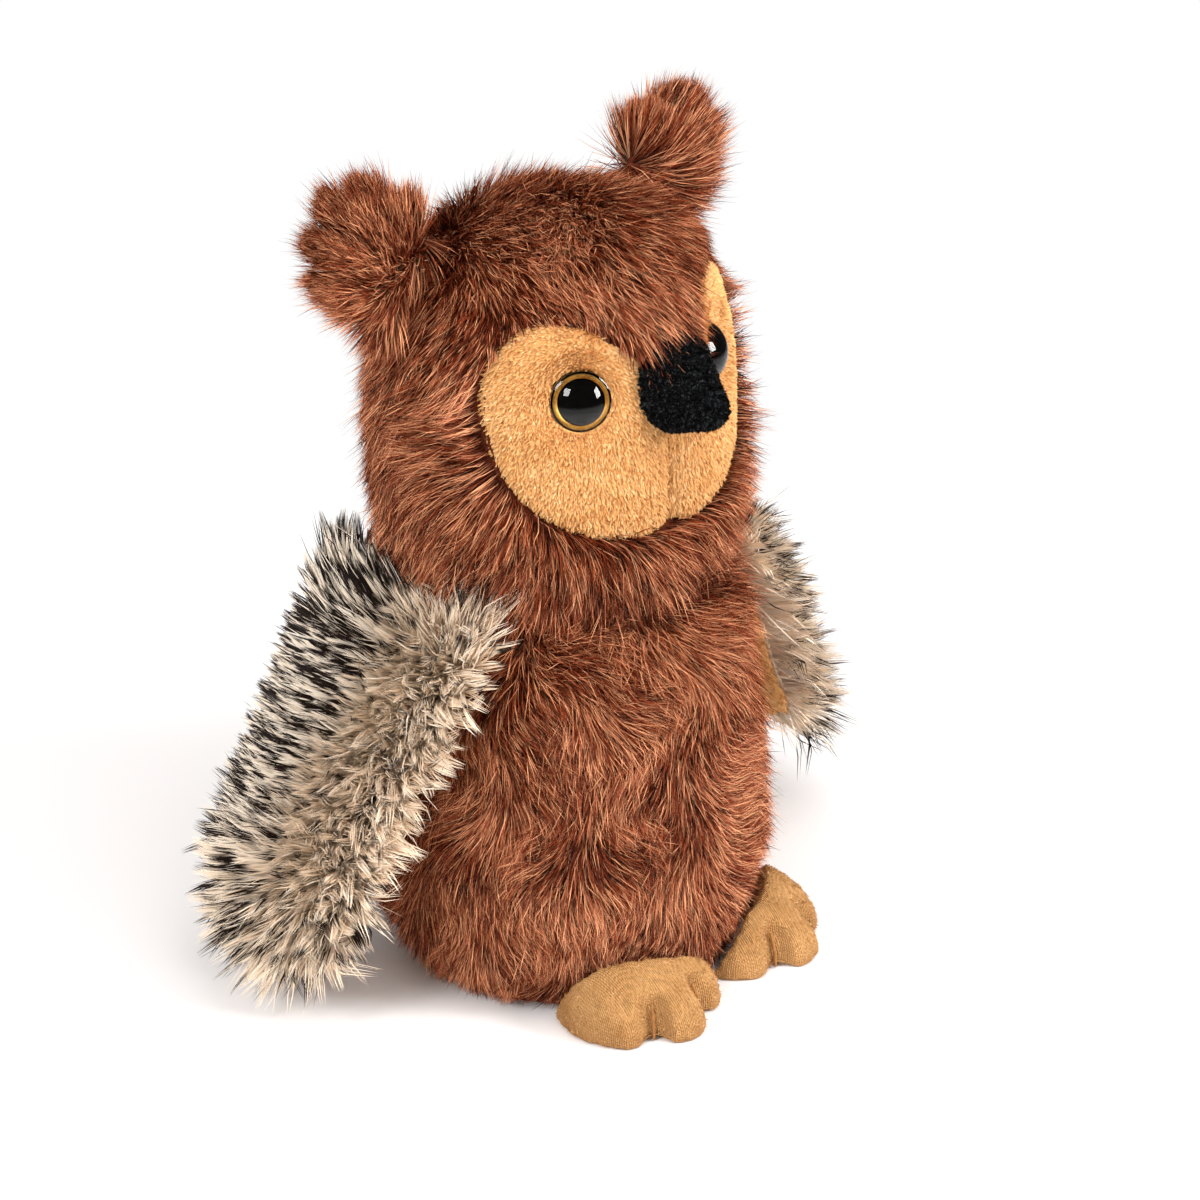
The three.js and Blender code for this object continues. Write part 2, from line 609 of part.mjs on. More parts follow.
// The thread over a foot's edge that draws in a notch.
function toeStitch(fromToes) {
  const edge = footEdge(fromToes);
  const lift = STITCH_DIAMETER / 2 + 2 * SEAM_GAP;
  const path = [-1, 0, 1, 2].map((step) => {
    const angle = radians(Math.max(step, 0) * 14);
    const at = edge.clone().multiplyScalar(Math.cos(angle));
    const rise = (footSwell(at) + lift) * Math.sin(angle) + footFloor;
    at.setLength(at.length() + lift * Math.cos(angle));
    const height = step < 0 ? STITCH_DIAMETER : rise;
    return new THREE.Vector3(at.x, at.y + footMiddle, height - FOOT_HINGE_HEIGHT);
  });
  const thread = new THREE.Shape().absarc(0, 0, STITCH_DIAMETER / 2, 0, 2 * Math.PI);
  const extrudePath = new THREE.CatmullRomCurve3(path);
  return solid(new THREE.ExtrudeGeometry(thread, { steps: 8, curveSegments: 4, extrudePath, bevelEnabled: false }));
}

function buildFoot({ name, sign }) {
  const group = new THREE.Group();
  const around = sign * footAround + radians(FEET_TURN);
  const forward = -footSeam * bodyDepthRatio * Math.cos(around);
  group.position.set(footSeam * Math.sin(around), forward, FOOT_HINGE_HEIGHT);
  group.rotation.z = radians(sign * FOOT_TOE_OUT + FEET_TURN);
  group.updateMatrix();
  owl.add(group);

  const outline = footOutline();
  const middle = new THREE.Vector2(0, footMiddle);
  const flat = () => 0;
  const form = (shrink) => {
    const height = (at) => footSwell(at.clone().sub(middle)) - shrink;
    const geometry = cushion(inset(outline, shrink), middle, height, flat, 5);
    return solid(geometry.translate(0, 0, footFloor - FOOT_HINGE_HEIGHT));
  };
  const trunk = bodyForm(LONG_PILE + SEAM_GAP).applyMatrix4(group.matrix.clone().invert());
  const axis = new THREE.Vector3(-1, 0, 0);
  const fitted = (made) => clearOfSwing(made, trunk, axis, [0, FOOT_LIFT / 2, FOOT_LIFT]);
  const sole = new THREE.ExtrudeGeometry(new THREE.Shape(outline), { depth: SOLE_THICKNESS, bevelEnabled: false });
  sole.translate(0, 0, -FOOT_HINGE_HEIGHT);
  addPiece(group, name + "_foot_upper", fitted(form(0).subtract(form(SHORT_PILE))), materials.tanKnit);
  addPiece(group, name + "_foot_filling", fitted(form(SHORT_PILE + SEAM_GAP)), materials.filling);
  addPiece(group, name + "_foot_sole", fitted(solid(sole)), materials.tanKnit);
  for (const [place, turn] of [["outer", sign], ["inner", -sign]]) {
    const stitch = toeStitch((turn * TOE_SPREAD) / 2);
    addPiece(group, `${name}_foot_${place}_stitch`, stitch, materials.thread);
  }
}

buildBody();
buildHead();
buildBeak();
for (const side of SIDES) {
  buildEar(side);
  buildWing(side);
  buildFoot(side);
}

export default owl;
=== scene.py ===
import math

import bpy
import numpy as np
from mathutils import Matrix, Vector, kdtree


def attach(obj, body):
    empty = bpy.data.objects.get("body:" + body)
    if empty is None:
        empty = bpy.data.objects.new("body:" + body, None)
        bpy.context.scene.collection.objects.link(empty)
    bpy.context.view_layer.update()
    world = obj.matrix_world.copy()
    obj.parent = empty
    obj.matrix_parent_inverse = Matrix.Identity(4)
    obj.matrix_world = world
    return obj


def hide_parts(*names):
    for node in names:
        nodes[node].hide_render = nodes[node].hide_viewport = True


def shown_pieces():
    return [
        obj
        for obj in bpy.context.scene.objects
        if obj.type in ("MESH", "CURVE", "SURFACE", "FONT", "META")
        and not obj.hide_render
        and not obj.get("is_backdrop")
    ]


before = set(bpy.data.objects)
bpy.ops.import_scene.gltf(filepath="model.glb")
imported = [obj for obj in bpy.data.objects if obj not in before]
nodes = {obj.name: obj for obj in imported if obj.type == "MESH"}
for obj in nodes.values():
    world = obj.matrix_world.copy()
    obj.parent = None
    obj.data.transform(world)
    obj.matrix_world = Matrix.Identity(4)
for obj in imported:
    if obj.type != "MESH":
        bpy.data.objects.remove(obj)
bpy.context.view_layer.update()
scene = bpy.context.scene
mm = 0.001
sides = (("right", -1), ("left", 1))


# colours are picked as 8-bit screen values
def dye(red, green, blue):
    def linear(part):
        part /= 255
        return part / 12.92 if part <= 0.04045 else ((part + 0.055) / 1.055) ** 2.4
    return (linear(red), linear(green), linear(blue), 1)


# links a socket to an input, or sets the input to a plain value
def feed(tree, node, inputs):
    for key, value in inputs.items():
        if isinstance(value, bpy.types.NodeSocket):
            tree.links.new(value, node.inputs[key])
        else:
            node.inputs[key].default_value = value


def addNode(tree, kind, inputs=None, **settings):
    node = tree.nodes.new(kind)
    for key, value in settings.items():
        setattr(node, key, value)
    feed(tree, node, inputs or {})
    return node


def reckon(tree, operation, *values):
    return addNode(tree, "ShaderNodeMath", dict(enumerate(values)), operation=operation).outputs[0]


def span(tree, value, low, high, start=0.0, end=1.0):
    return addNode(tree, "ShaderNodeMapRange", {0: value, 1: low, 2: high, 3: start, 4: end}).outputs[0]


def blend(tree, share, first, second):
    return addNode(tree, "ShaderNodeMix", {0: share, 6: first, 7: second}, data_type="RGBA").outputs[2]


def darken(tree, colour, share):
    return addNode(tree, "ShaderNodeVectorMath", {0: colour, 1: share}, operation="MULTIPLY").outputs[0]


def newGroup(name, inputs, outputs):
    tree = bpy.data.node_groups.new(name, "ShaderNodeTree")
    for label, kind in inputs:
        tree.interface.new_socket(label, in_out="INPUT", socket_type="NodeSocket" + kind)
    for label, kind in outputs:
        tree.interface.new_socket(label, in_out="OUTPUT", socket_type="NodeSocket" + kind)
    return tree, addNode(tree, "NodeGroupInput").outputs, addNode(tree, "NodeGroupOutput").inputs


def useGroup(tree, group, inputs):
    node = tree.nodes.new("ShaderNodeGroup")
    node.node_tree = group
    feed(tree, node, inputs)
    return node.outputs


def newMaterial(name, values):
    material = bpy.data.materials.new(name)
    material.use_nodes = True
    shader = material.node_tree.nodes["Principled BSDF"]
    for socket, value in values.items():
        shader.inputs[socket].default_value = value
    return material, material.node_tree, shader


# a hair's colour: across the map is its tone, up the map runs from root to tip, with painted shade darkening it
# towards the root
def makeStrandColour():
    tree, given, out = newGroup(
        "strandColour",
        [("Place", "Vector"), ("Dark", "Color"), ("Middle", "Color"), ("Light", "Color"), ("RootShade", "Float")],
        [("Colour", "Color")])
    split = addNode(tree, "ShaderNodeSeparateXYZ", {0: given["Place"]}).outputs
    low = span(tree, split[0], 0.0, 0.5)
    high = span(tree, split[0], 0.5, 1.0)
    # the pale end is made rarer; in the brown fur those palest hairs are partly paler hair and partly painted glints
    high = reckon(tree, "POWER", high, 1.5)
    deep = blend(tree, low, given["Dark"], given["Middle"])
    pale = blend(tree, high, deep, given["Light"])
    # painted shade: the colour is multiplied down towards the root, where the pile shades itself
    shade = span(tree, split[1], 0.0, 0.7, given["RootShade"])
    shaded = darken(tree, pale, shade)
    tree.links.new(shaded, out["Colour"])
    return tree


# mottled cloth under the pile: a mask for its colour and a height for its nap
def makeNap():
    tree, given, out = newGroup(
        "nap", [("Place", "Vector"), ("Fibres", "Float"), ("Patches", "Float")],
        [("Mask", "Float"), ("Height", "Float")])
    place = given["Place"]
    fibres = addNode(tree, "ShaderNodeTexNoise", {"Vector": place, "Scale": given["Fibres"], "Detail": 3.0})
    patches = addNode(tree, "ShaderNodeTexNoise", {"Vector": place, "Scale": given["Patches"], "Detail": 2.0})
    both = reckon(tree, "ADD", fibres.outputs[0], patches.outputs[0])
    mask = span(tree, both, 0.7, 1.3)
    tree.links.new(mask, out["Mask"])
    tree.links.new(fibres.outputs[0], out["Height"])
    return tree


# fine knit ribs that run over the toes, counted along x, or along y where the cloth faces sideways
def makeKnit():
    tree, given, out = newGroup(
        "knit", [("Place", "Vector"), ("Facing", "Vector"), ("Pitch", "Float")], [("Height", "Float")])
    split = addNode(tree, "ShaderNodeSeparateXYZ", {0: given["Place"]}).outputs
    facing = addNode(tree, "ShaderNodeSeparateXYZ", {0: given["Facing"]}).outputs
    aside = reckon(tree, "ABSOLUTE", facing[0])
    turned = span(tree, aside, 0.6, 0.8)
    down = reckon(tree, "SUBTRACT", split[2], split[1])
    ribs = []
    for axis in (split[0], split[1]):
        wale = reckon(tree, "DIVIDE", axis, given["Pitch"])
        course = reckon(tree, "DIVIDE", down, given["Pitch"])
        fold = reckon(tree, "PINGPONG", wale, 0.5)
        slant = reckon(tree, "MULTIPLY_ADD", course, 1.3, fold)
        turn = reckon(tree, "MULTIPLY", slant, 2 * math.pi)
        loop = reckon(tree, "SINE", turn)
        groove = reckon(tree, "MULTIPLY", fold, 2 * math.pi)
        rib = reckon(tree, "SINE", groove)
        ribs.append(reckon(tree, "MULTIPLY_ADD", loop, 0.3, rib))
    height = addNode(tree, "ShaderNodeMix", {0: turned, 2: ribs[0], 3: ribs[1]}).outputs[0]
    tree.links.new(height, out["Height"])
    return tree


strandColour = makeStrandColour()
nap = makeNap()
knit = makeKnit()


# root is the share of colour left at the hair's root by the painted shade
def hairMaterial(name, dark, middle, light, root, roughness):
    material, tree, shader = newMaterial(name, {"Roughness": roughness, "Specular IOR Level": 0.1})
    place = addNode(tree, "ShaderNodeUVMap", uv_map="OFBake").outputs[0]
    colour = useGroup(tree, strandColour, {
        "Place": place, "Dark": dark, "Middle": middle, "Light": light, "RootShade": root})
    tree.links.new(colour["Colour"], shader.inputs["Base Color"])
    return material


def clothMaterial(name, low, high, fibres, patches, depth, roughness):
    material, tree, shader = newMaterial(name, {"Roughness": roughness, "Specular IOR Level": 0.15})
    place = addNode(tree, "ShaderNodeTexCoord").outputs["Object"]
    grain = useGroup(tree, nap, {"Place": place, "Fibres": fibres, "Patches": patches})
    colour = blend(tree, grain["Mask"], low, high)
    bump = addNode(tree, "ShaderNodeBump", {"Height": grain["Height"], "Strength": 0.8, "Distance": depth * mm})
    tree.links.new(colour, shader.inputs["Base Color"])
    tree.links.new(bump.outputs[0], shader.inputs["Normal"])
    return material


# brownFur's light colour is partly paler hair and partly painted glints on single hairs
brownFur = hairMaterial("brownFur", dye(30, 7, 2), dye(148, 62, 31), dye(252, 178, 130), 0.2, 0.5)
tanPile = hairMaterial("tanPile", dye(204, 138, 74), dye(240, 186, 120), dye(252, 218, 164), 0.6, 0.7)
knitFuzz = hairMaterial("knitFuzz", dye(150, 100, 52), dye(198, 146, 90), dye(234, 192, 140), 0.8, 0.8)
blackPile = hairMaterial("blackPile", dye(2, 2, 3), dye(9, 9, 10), dye(56, 58, 60), 0.5, 0.7)
brownBacking = clothMaterial("brownBacking", dye(60, 20, 9), dye(104, 44, 22), 900, 60, 0.5, 0.9)
creamBacking = clothMaterial("creamBacking", dye(214, 182, 150), dye(240, 216, 188), 900, 60, 0.5, 0.9)
tanVelour = clothMaterial("tanVelour", dye(214, 150, 86), dye(240, 184, 118), 1400, 90, 0.4, 0.85)
blackFleece = clothMaterial("blackFleece", dye(4, 4, 5), dye(12, 12, 13), 1300, 120, 0.6, 0.9)
baseCloth = clothMaterial("baseCloth", dye(84, 40, 26), dye(112, 58, 38), 1600, 70, 0.2, 0.9)
threadTwist = clothMaterial("threadTwist", dye(132, 86, 44), dye(170, 120, 70), 2400, 300, 0.1, 0.7)


def makeBarredFur(tip):
    material, tree, shader = newMaterial("barredFur", {"Roughness": 0.5, "Specular IOR Level": 0.2})
    place = addNode(tree, "ShaderNodeUVMap", uv_map="OFBake").outputs[0]
    split = addNode(tree, "ShaderNodeSeparateXYZ", {0: place}).outputs
    # four kinds of hair side by side on the map: plain, long dark end, short dark end, middling dark end
    starts = addNode(tree, "ShaderNodeValToRGB", {0: split[0]})
    ramp = starts.color_ramp
    ramp.interpolation = "CONSTANT"
    while len(ramp.elements) < 4:
        ramp.elements.new(0.5)
    for element, at, start in zip(ramp.elements, (0.0, 0.25, 0.5, 0.75), tip["starts"]):
        element.position = at
        element.color = (start, start, start, 1)
    soft = reckon(tree, "SUBTRACT", split[1], starts.outputs[0])
    dark = span(tree, soft, -0.05, 0.08)
    shift = reckon(tree, "MULTIPLY", split[0], 4.0)
    kind = reckon(tree, "FRACT", shift)
    body = blend(tree, kind, tip["cream"], tip["white"])
    end = blend(tree, kind, tip["black"], tip["brown"])
    # painted shade: the body colour is darkened towards the root, where the pile shades itself
    shade = span(tree, split[1], 0.0, 0.5, tip["root"])
    lit = darken(tree, body, shade)
    colour = blend(tree, dark, lit, end)
    tree.links.new(colour, shader.inputs["Base Color"])
    return material


# root is the share of colour left at the root by that painted shade
barredFur = makeBarredFur({
    "starts": (1.0, 0.5, 0.8, 0.66), "cream": dye(255, 228, 196), "white": dye(246, 236, 222),
    "black": dye(20, 12, 8), "brown": dye(46, 30, 22), "root": 0.92})


def makeTanKnit():
    material, tree, shader = newMaterial("tanKnit", {"Roughness": 0.9, "Specular IOR Level": 0.15})
    coordinates = addNode(tree, "ShaderNodeTexCoord").outputs
    place = coordinates["Object"]
    rows = useGroup(tree, knit, {"Place": place, "Facing": coordinates["Normal"], "Pitch": 0.95 * mm})
    grain = useGroup(tree, nap, {"Place": place, "Fibres": 1800.0, "Patches": 90.0})
    worn = blend(tree, grain["Mask"], dye(180, 128, 76), dye(216, 164, 106))
    # painted shade: the colour darkens down into the grooves between the knit ribs
    deep = span(tree, rows["Height"], -0.3, 1.0, 0.42)
    colour = darken(tree, worn, deep)
    bump = addNode(tree, "ShaderNodeBump", {"Height": rows["Height"], "Strength": 0.8, "Distance": 0.35 * mm})
    tree.links.new(colour, shader.inputs["Base Color"])
    tree.links.new(bump.outputs[0], shader.inputs["Normal"])
    return material


tanKnit = makeTanKnit()
print("materials mixed")


def deselectAll():
    if bpy.context.object and bpy.context.object.mode != "OBJECT":
        bpy.ops.object.mode_set(mode="OBJECT")
    bpy.ops.object.select_all(action="DESELECT")


def pickOnly(piece):
    deselectAll()
    piece.select_set(True)
    bpy.context.view_layer.objects.active = piece


def useModifier(piece, kind, **values):
    pickOnly(piece)
    modifier = piece.modifiers.new(kind.lower(), kind)
    for key, value in values.items():
        setattr(modifier, key, value)
    bpy.ops.object.modifier_apply(modifier=modifier.name)


# the CAD solids of a piece, copied, joined and welded
def copyNodes(name, *nodeNames):
    deselectAll()
    copies = []
    for nodeName in nodeNames:
        copied = bpy.data.objects.new(name, nodes[nodeName].data.copy())
        scene.collection.objects.link(copied)
        copied.select_set(True)
        copies.append(copied)
    piece = copies[0]
    bpy.context.view_layer.objects.active = piece
    if len(copies) > 1:
        bpy.ops.object.join()
    piece.data.materials.clear()
    bpy.ops.object.mode_set(mode="EDIT")
    bpy.ops.mesh.select_all(action="SELECT")
    bpy.ops.mesh.remove_doubles(threshold=1e-6)
    bpy.ops.object.mode_set(mode="OBJECT")
    return piece


def soften(piece, voxel, rounds):
    useModifier(piece, "REMESH", mode="VOXEL", voxel_size=voxel * mm, use_smooth_shade=True)
    if rounds:
        useModifier(piece, "SMOOTH", factor=0.5, iterations=rounds)


# a skin set below the hair that grows on it
def sink(piece, depth):
    useModifier(piece, "DISPLACE", strength=-depth * mm, mid_level=0.0, direction="NORMAL")


def recolour(piece, material):
    piece.data.materials.clear()
    piece.data.materials.append(material)


def dress(piece, body, material, slot, *nodeNames):
    recolour(piece, material)
    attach(piece, body)
    if nodeNames:
        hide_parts(*nodeNames)
    return piece


# a stuffed form: air pressure swells it for a few frames, and no point moves further than the cap
def swell(piece, look, pinned):
    before = points(piece)
    group = piece.vertex_groups.new(name="sewn")
    held = np.nonzero(pinned(before))[0].tolist()
    group.add(held, 1.0, "REPLACE")
    pickOnly(piece)
    modifier = piece.modifiers.new("stuffing", "CLOTH")
    cloth = modifier.settings
    cloth.vertex_group_mass = "sewn"
    cloth.use_pressure = True
    cloth.uniform_pressure_force = look["pressure"]
    cloth.tension_stiffness = 12
    cloth.compression_stiffness = 12
    cloth.bending_stiffness = 0.4
    cloth.effector_weights.gravity = 0
    modifier.point_cache.frame_end = look["frames"]
    for step in range(1, look["frames"] + 1):
        scene.frame_set(step)
    bpy.ops.object.modifier_apply(modifier=modifier.name)
    scene.frame_set(1)
    after = points(piece)
    move = after - before
    reach = np.linalg.norm(move, axis=1, keepdims=True)
    move *= np.minimum(1, look["cap"] / np.maximum(reach, 1e-9))
    setPoints(piece, before + move)
    piece.vertex_groups.clear()


def points(piece):
    place = np.empty(len(piece.data.vertices) * 3, np.float32)
    piece.data.vertices.foreach_get("co", place)
    return place.reshape(-1, 3).astype(float) / mm


def setPoints(piece, place):
    piece.data.vertices.foreach_set("co", (place * mm).astype(np.float32).ravel())
    piece.data.update()


def facings(piece):
    facing = np.empty(len(piece.data.vertices) * 3, np.float32)
    piece.data.vertices.foreach_get("normal", facing)
    return facing.reshape(-1, 3).astype(float)


def unit(vectors):
    return vectors / np.maximum(np.linalg.norm(vectors, axis=1, keepdims=True), 1e-9)


def smoothStep(low, high, value):
    part = np.clip((value - low) / (high - low), 0, 1)
    return part * part * (3 - 2 * part)


# a place or direction given for the left side, set for either side
def mirrored(sign, vector):
    return np.array([sign * vector[0], vector[1], vector[2]])


# a slow random field over space, about -1 to 1
def drift(place, size, seed):
    rng = np.random.default_rng(seed)
    total = np.zeros(len(place))
    for _ in range(7):
        way = rng.normal(size=3)
        way *= 2 * math.pi / size * rng.uniform(0.6, 1.5) / np.linalg.norm(way)
        total += np.sin(place @ way + rng.uniform(0, 2 * math.pi))
    return total / 2.6


# random places on the outside of a skin, with the way it faces there
def rootsOn(skin, count, rng, keep):
    mesh = skin.data
    mesh.calc_loop_triangles()
    corners = np.empty(len(mesh.loop_triangles) * 3, np.int32)
    mesh.loop_triangles.foreach_get("vertices", corners)
    corners = corners.reshape(-1, 3)
    place, facing = points(skin), facings(skin)
    middle = place[corners].mean(1)
    kept = keep(middle, unit(facing[corners].mean(1)))
    corners = corners[kept > 0]
    a, b, c = (place[corners[:, k]] for k in range(3))
    area = np.linalg.norm(np.cross(b - a, c - a), axis=1) * kept[kept > 0]
    chosen = rng.choice(len(corners), size=count, p=area / area.sum())
    s, t = rng.random(count), rng.random(count)
    over = s + t > 1
    s[over], t[over] = 1 - s[over], 1 - t[over]
    share = np.stack([1 - s - t, s, t], 1)[:, :, None]
    roots = (place[corners[chosen]] * share).sum(1)
    return roots, unit((facing[corners[chosen]] * share).sum(1))


# flat tapered hairs with a pointed end, each turned its own way, all in one mesh
def strandMesh(name, path, up, width, taper, tone, twist):
    count, rings = path.shape[0], path.shape[1] - 1
    along = unit((path[:, 1:] - path[:, :-1]).reshape(-1, 3)).reshape(count, rings, 3)
    across = np.cross(along, up[:, None, :] + 1e-4)
    across /= np.maximum(np.linalg.norm(across, axis=2, keepdims=True), 1e-9)
    across = across * np.cos(twist)[:, None, None] + np.cross(across, along) * np.sin(twist)[:, None, None]
    verts = np.empty((count, rings * 2 + 1, 3))
    mapped = np.empty((count, rings * 2 + 1, 2))
    for ring in range(rings):
        half = across[:, ring] * (width * taper[ring] / 2)[:, None]
        for edge in (0, 1):
            verts[:, ring * 2 + edge] = path[:, ring] + half * (edge * 2 - 1)
            mapped[:, ring * 2 + edge, 0] = tone + (edge * 2 - 1) * 0.006
            mapped[:, ring * 2 + edge, 1] = 0.01 + 0.98 * ring / rings
    verts[:, -1] = path[:, -1]
    mapped[:, -1, 0], mapped[:, -1, 1] = tone, 0.99
    faces = [(ring * 2, ring * 2 + 1, ring * 2 + 3, ring * 2 + 2) for ring in range(rings - 1)]
    faces.append((rings * 2 - 2, rings * 2 - 1, rings * 2))
    perHair = rings * 2 + 1
    loops = (np.concatenate(faces)[None, :] + np.arange(count)[:, None] * perHair).ravel()
    totals = np.tile([len(face) for face in faces], count)
    starts = np.concatenate([[0], np.cumsum(totals)[:-1]])
    mesh = bpy.data.meshes.new(name)
    mesh.vertices.add(count * perHair)
    mesh.vertices.foreach_set("co", (verts * mm).astype(np.float32).ravel())
    mesh.loops.add(len(loops))
    mesh.loops.foreach_set("vertex_index", loops.astype(np.int32))
    mesh.polygons.add(len(totals))
    mesh.polygons.foreach_set("loop_start", starts.astype(np.int32))
    mesh.polygons.foreach_set("use_smooth", np.ones(len(totals), bool))
    layer = mesh.uv_layers.new(name="OFBake")
    layer.data.foreach_set("uv", mapped.reshape(-1, 2)[loops].astype(np.float32).ravel())
    mesh.update(calc_edges=True)
    mesh.validate()
    piece = bpy.data.objects.new(name, mesh)
    scene.collection.objects.link(piece)
    return piece


# hairs over a skin: comb gives each root its way, lean, length and disorder, tint its tone on the map
def growHair(name, skin, look, keep, comb, tint):
    rng = np.random.default_rng(look["seed"])
    count, steps = look["count"], look["steps"]
    roots, up = rootsOn(skin, count, rng, keep)
    tufts = max(1, int(count / look["tuft"]))
    tree = kdtree.KDTree(tufts)
    for index in range(tufts):
        tree.insert(roots[index], index)
    tree.balance()
    tuft = np.array([tree.find(root)[1] for root in roots])
    way, lean, reach, wild = comb(roots, up)
    flat = unit(way - up * (way * up).sum(1, keepdims=True))
    tuftTurn = rng.normal(0, look["tuftTurn"], tufts)[tuft]
    turn = np.radians((tuftTurn + rng.normal(0, look["turn"], count)) * wild)
    flat = flat * np.cos(turn)[:, None] + np.cross(up, flat) * np.sin(turn)[:, None]
    beside = np.cross(up, flat)
    stray = rng.random(count) < look["stray"]
    tuftLean = rng.normal(0, look["tuftLean"], tufts)[tuft]
    unevenLean = (tuftLean + rng.normal(0, look["lean"], count)) * wild - 22 * stray
    lean = np.radians(np.clip(lean + unevenLean[:, None], 2, 88))
    reach = reach * (1 + wild * rng.uniform(-0.2, 0.15, tufts)[tuft]) * (1 + wild * rng.uniform(-0.25, 0.1, count))
    curl = rng.normal(0, look["curl"], count) * wild
    path = np.empty((count, steps + 1, 3))
    path[:, 0] = roots - up * look["sunk"]
    for step in range(steps):
        t = (step + 0.5) / steps
        angle = (lean[:, 0] + (lean[:, 1] - lean[:, 0]) * t)[:, None]
        heading = up * np.cos(angle) + flat * np.sin(angle) + beside * (curl * t)[:, None]
        path[:, step + 1] = path[:, step] + unit(heading) * (reach / steps)[:, None]
    pull = look["pull"] * (np.arange(steps + 1) / steps) ** 1.2
    path += (path[tuft] - path) * pull[None, :, None] * (~stray)[:, None, None]
    path[:, 1:, 2] = np.maximum(path[:, 1:, 2], 0.5 + 0.5 * rng.random((count, 1)))
    width = look["width"] * rng.uniform(0.75, 1.25, count)
    twist = np.radians(rng.uniform(-65, 65, count))
    tone = np.clip(tint(roots, up, tuft, rng), 0.01, 0.99)
    return strandMesh(name, path, up, width, look["taper"], tone, twist)


def evenTone(look):
    def tint(roots, up, tuft, rng):
        patch = drift(roots, look["patch"], look["seed"] + 7) * look["patchTone"]
        tuftTone = rng.normal(0, look["tuftTone"], len(roots))[tuft]
        return 0.5 + patch + tuftTone + rng.normal(0, look["tone"], len(roots))
    return tint


# a short pile that lies one way all over
def combFlat(look):
    def comb(roots, up):
        count = len(roots)
        lie, leans = (np.tile(look[key], (count, 1)) for key in ("lie", "leans"))
        return lie, leans, np.full(count, look["length"]), np.ones(count)
    return comb


print("tools ready")

# torso: two fur panels round the filling, as one stuffed form
torso = {"voxel": 4.0, "pressure": 4.0, "frames": 20, "cap": 1.0, "fill": 0.8, "sink": 4.6, "rounds": 4,
         "seams": (6, 102), "base": {"voxel": 1.0, "rounds": 2}}
torsoNodes = ("body_front_panel", "body_back_panel", "body_filling", "pellet_bag")
torsoCover = copyNodes("torsoCover", *torsoNodes)
soften(torsoCover, torso["voxel"], torso["rounds"])
swell(torsoCover, torso, lambda place: (place[:, 2] < torso["seams"][0]) | (place[:, 2] > torso["seams"][1]))
sink(torsoCover, torso["sink"])
useModifier(torsoCover, "SUBSURF", levels=1, render_levels=1)
dress(torsoCover, "torso", brownBacking, "brown_fur", *torsoNodes)
basePanel = copyNodes("basePanel", "base_panel")
soften(basePanel, torso["base"]["voxel"], torso["base"]["rounds"])
dress(basePanel, "torso", baseCloth, "base_cloth", "base_panel")
print("torso stuffed", len(torsoCover.data.vertices))

# long pile: sizes in mm, turns and leans in degrees, tones as shares of the colour map
bodyHair = {"count": 45000, "steps": 2, "length": 11.5, "width": 0.22, "taper": (0.9, 0.9), "sunk": 0.6,
            "tuft": 10, "tuftTurn": 8, "turn": 11, "tuftLean": 5, "lean": 7, "curl": 0.3, "stray": 0.05,
            "pull": 0.3, "patch": 26, "patchTone": 0.12, "tuftTone": 0.12, "tone": 0.42, "swirl": 62, "swirlSize": 31,
            "feet": (-18.4, 26.4)}


def combBody(look):
    def comb(roots, up):
        turn = np.radians(look["swirl"]) * drift(roots, look["swirlSize"], 5)
        around = np.stack([roots[:, 1], -roots[:, 0], np.zeros(len(roots))], 1)
        way = unit(around) * np.sin(turn)[:, None]
        low = smoothStep(26, 4, roots[:, 2])
        high = smoothStep(84, 102, roots[:, 2])
        way[:, 2] -= np.cos(turn)
        lean = np.stack([42 + 10 * low - 24 * high, 76 - 30 * high], 1)
        toes = sum(np.exp(-((roots[:, 0] - at) / 16) ** 2) for at in look["feet"])
        toes = toes * smoothStep(-22, -40, roots[:, 1]) * smoothStep(36, 20, roots[:, 2])
        reach = look["length"] * (1 - 0.25 * low + 0.15 * high) * (1 - 0.45 * np.minimum(toes, 1))
        return way, lean, reach, 1 + 0.5 * high
    return comb


quarters = (("RightFront", -1, -1), ("LeftFront", 1, -1), ("RightBack", -1, 1), ("LeftBack", 1, 1))
for index, (quarter, sideX, sideY) in enumerate(quarters):
    look = dict(bodyHair, seed=11 + index)

    def onQuarter(place, facing):
        outside = (facing * (place - [0, 0, 45]))[:, :2].sum(1) > 0
        standing = (facing[:, 2] > -0.75) & (place[:, 2] > 1.5) & (place[:, 2] < 108)
        return (outside & standing & (place[:, 0] * sideX >= 0) & (place[:, 1] * sideY >= 0)).astype(float)

    fur = growHair("bodyFur" + quarter, torsoCover, look, onQuarter, combBody(look), evenTone(look))
    dress(fur, "torso", brownFur, "brown_fur")
print("torso furred")

# head: fur panels round the filling, with a recess for the face
head = {"voxel": 2.2, "fill": 0.9, "neck": 109.0, "middle": (0.0, 0.0, 155.0), "sink": 2.8, "rounds": 3,
        "whorl": (0, 60)}
headNodes = ("right_head_panel", "left_head_panel", "head_filling")
headCover = copyNodes("headCover", *headNodes)
soften(headCover, head["voxel"], head["rounds"])
sink(headCover, head["sink"])
useModifier(headCover, "SUBSURF", levels=1, render_levels=1)
dress(headCover, "head", brownBacking, "brown_fur", *headNodes)
print("head stuffed", len(headCover.data.vertices))

# the face's outline seen from the front, in mm above the neck seam
face = {"side": 42.0, "sideHeight": 54.0, "peak": 27.0, "top": 75.5, "brow": 59.0, "chin": 19.0, "eyeRadius": 7.5,
        "voxel": 0.8, "rounds": 4, "roll": 2.4, "rollWidth": 4, "rollHeight": (160, 150)}


def bezier(a, b, c, d):
    t = np.linspace(0, 1, 12)[:-1, None]
    a, b, c, d = (np.array(p, float) for p in (a, b, c, d))
    return a * (1 - t) ** 3 + 3 * b * t * (1 - t) ** 2 + 3 * c * t * t * (1 - t) + d * t ** 3


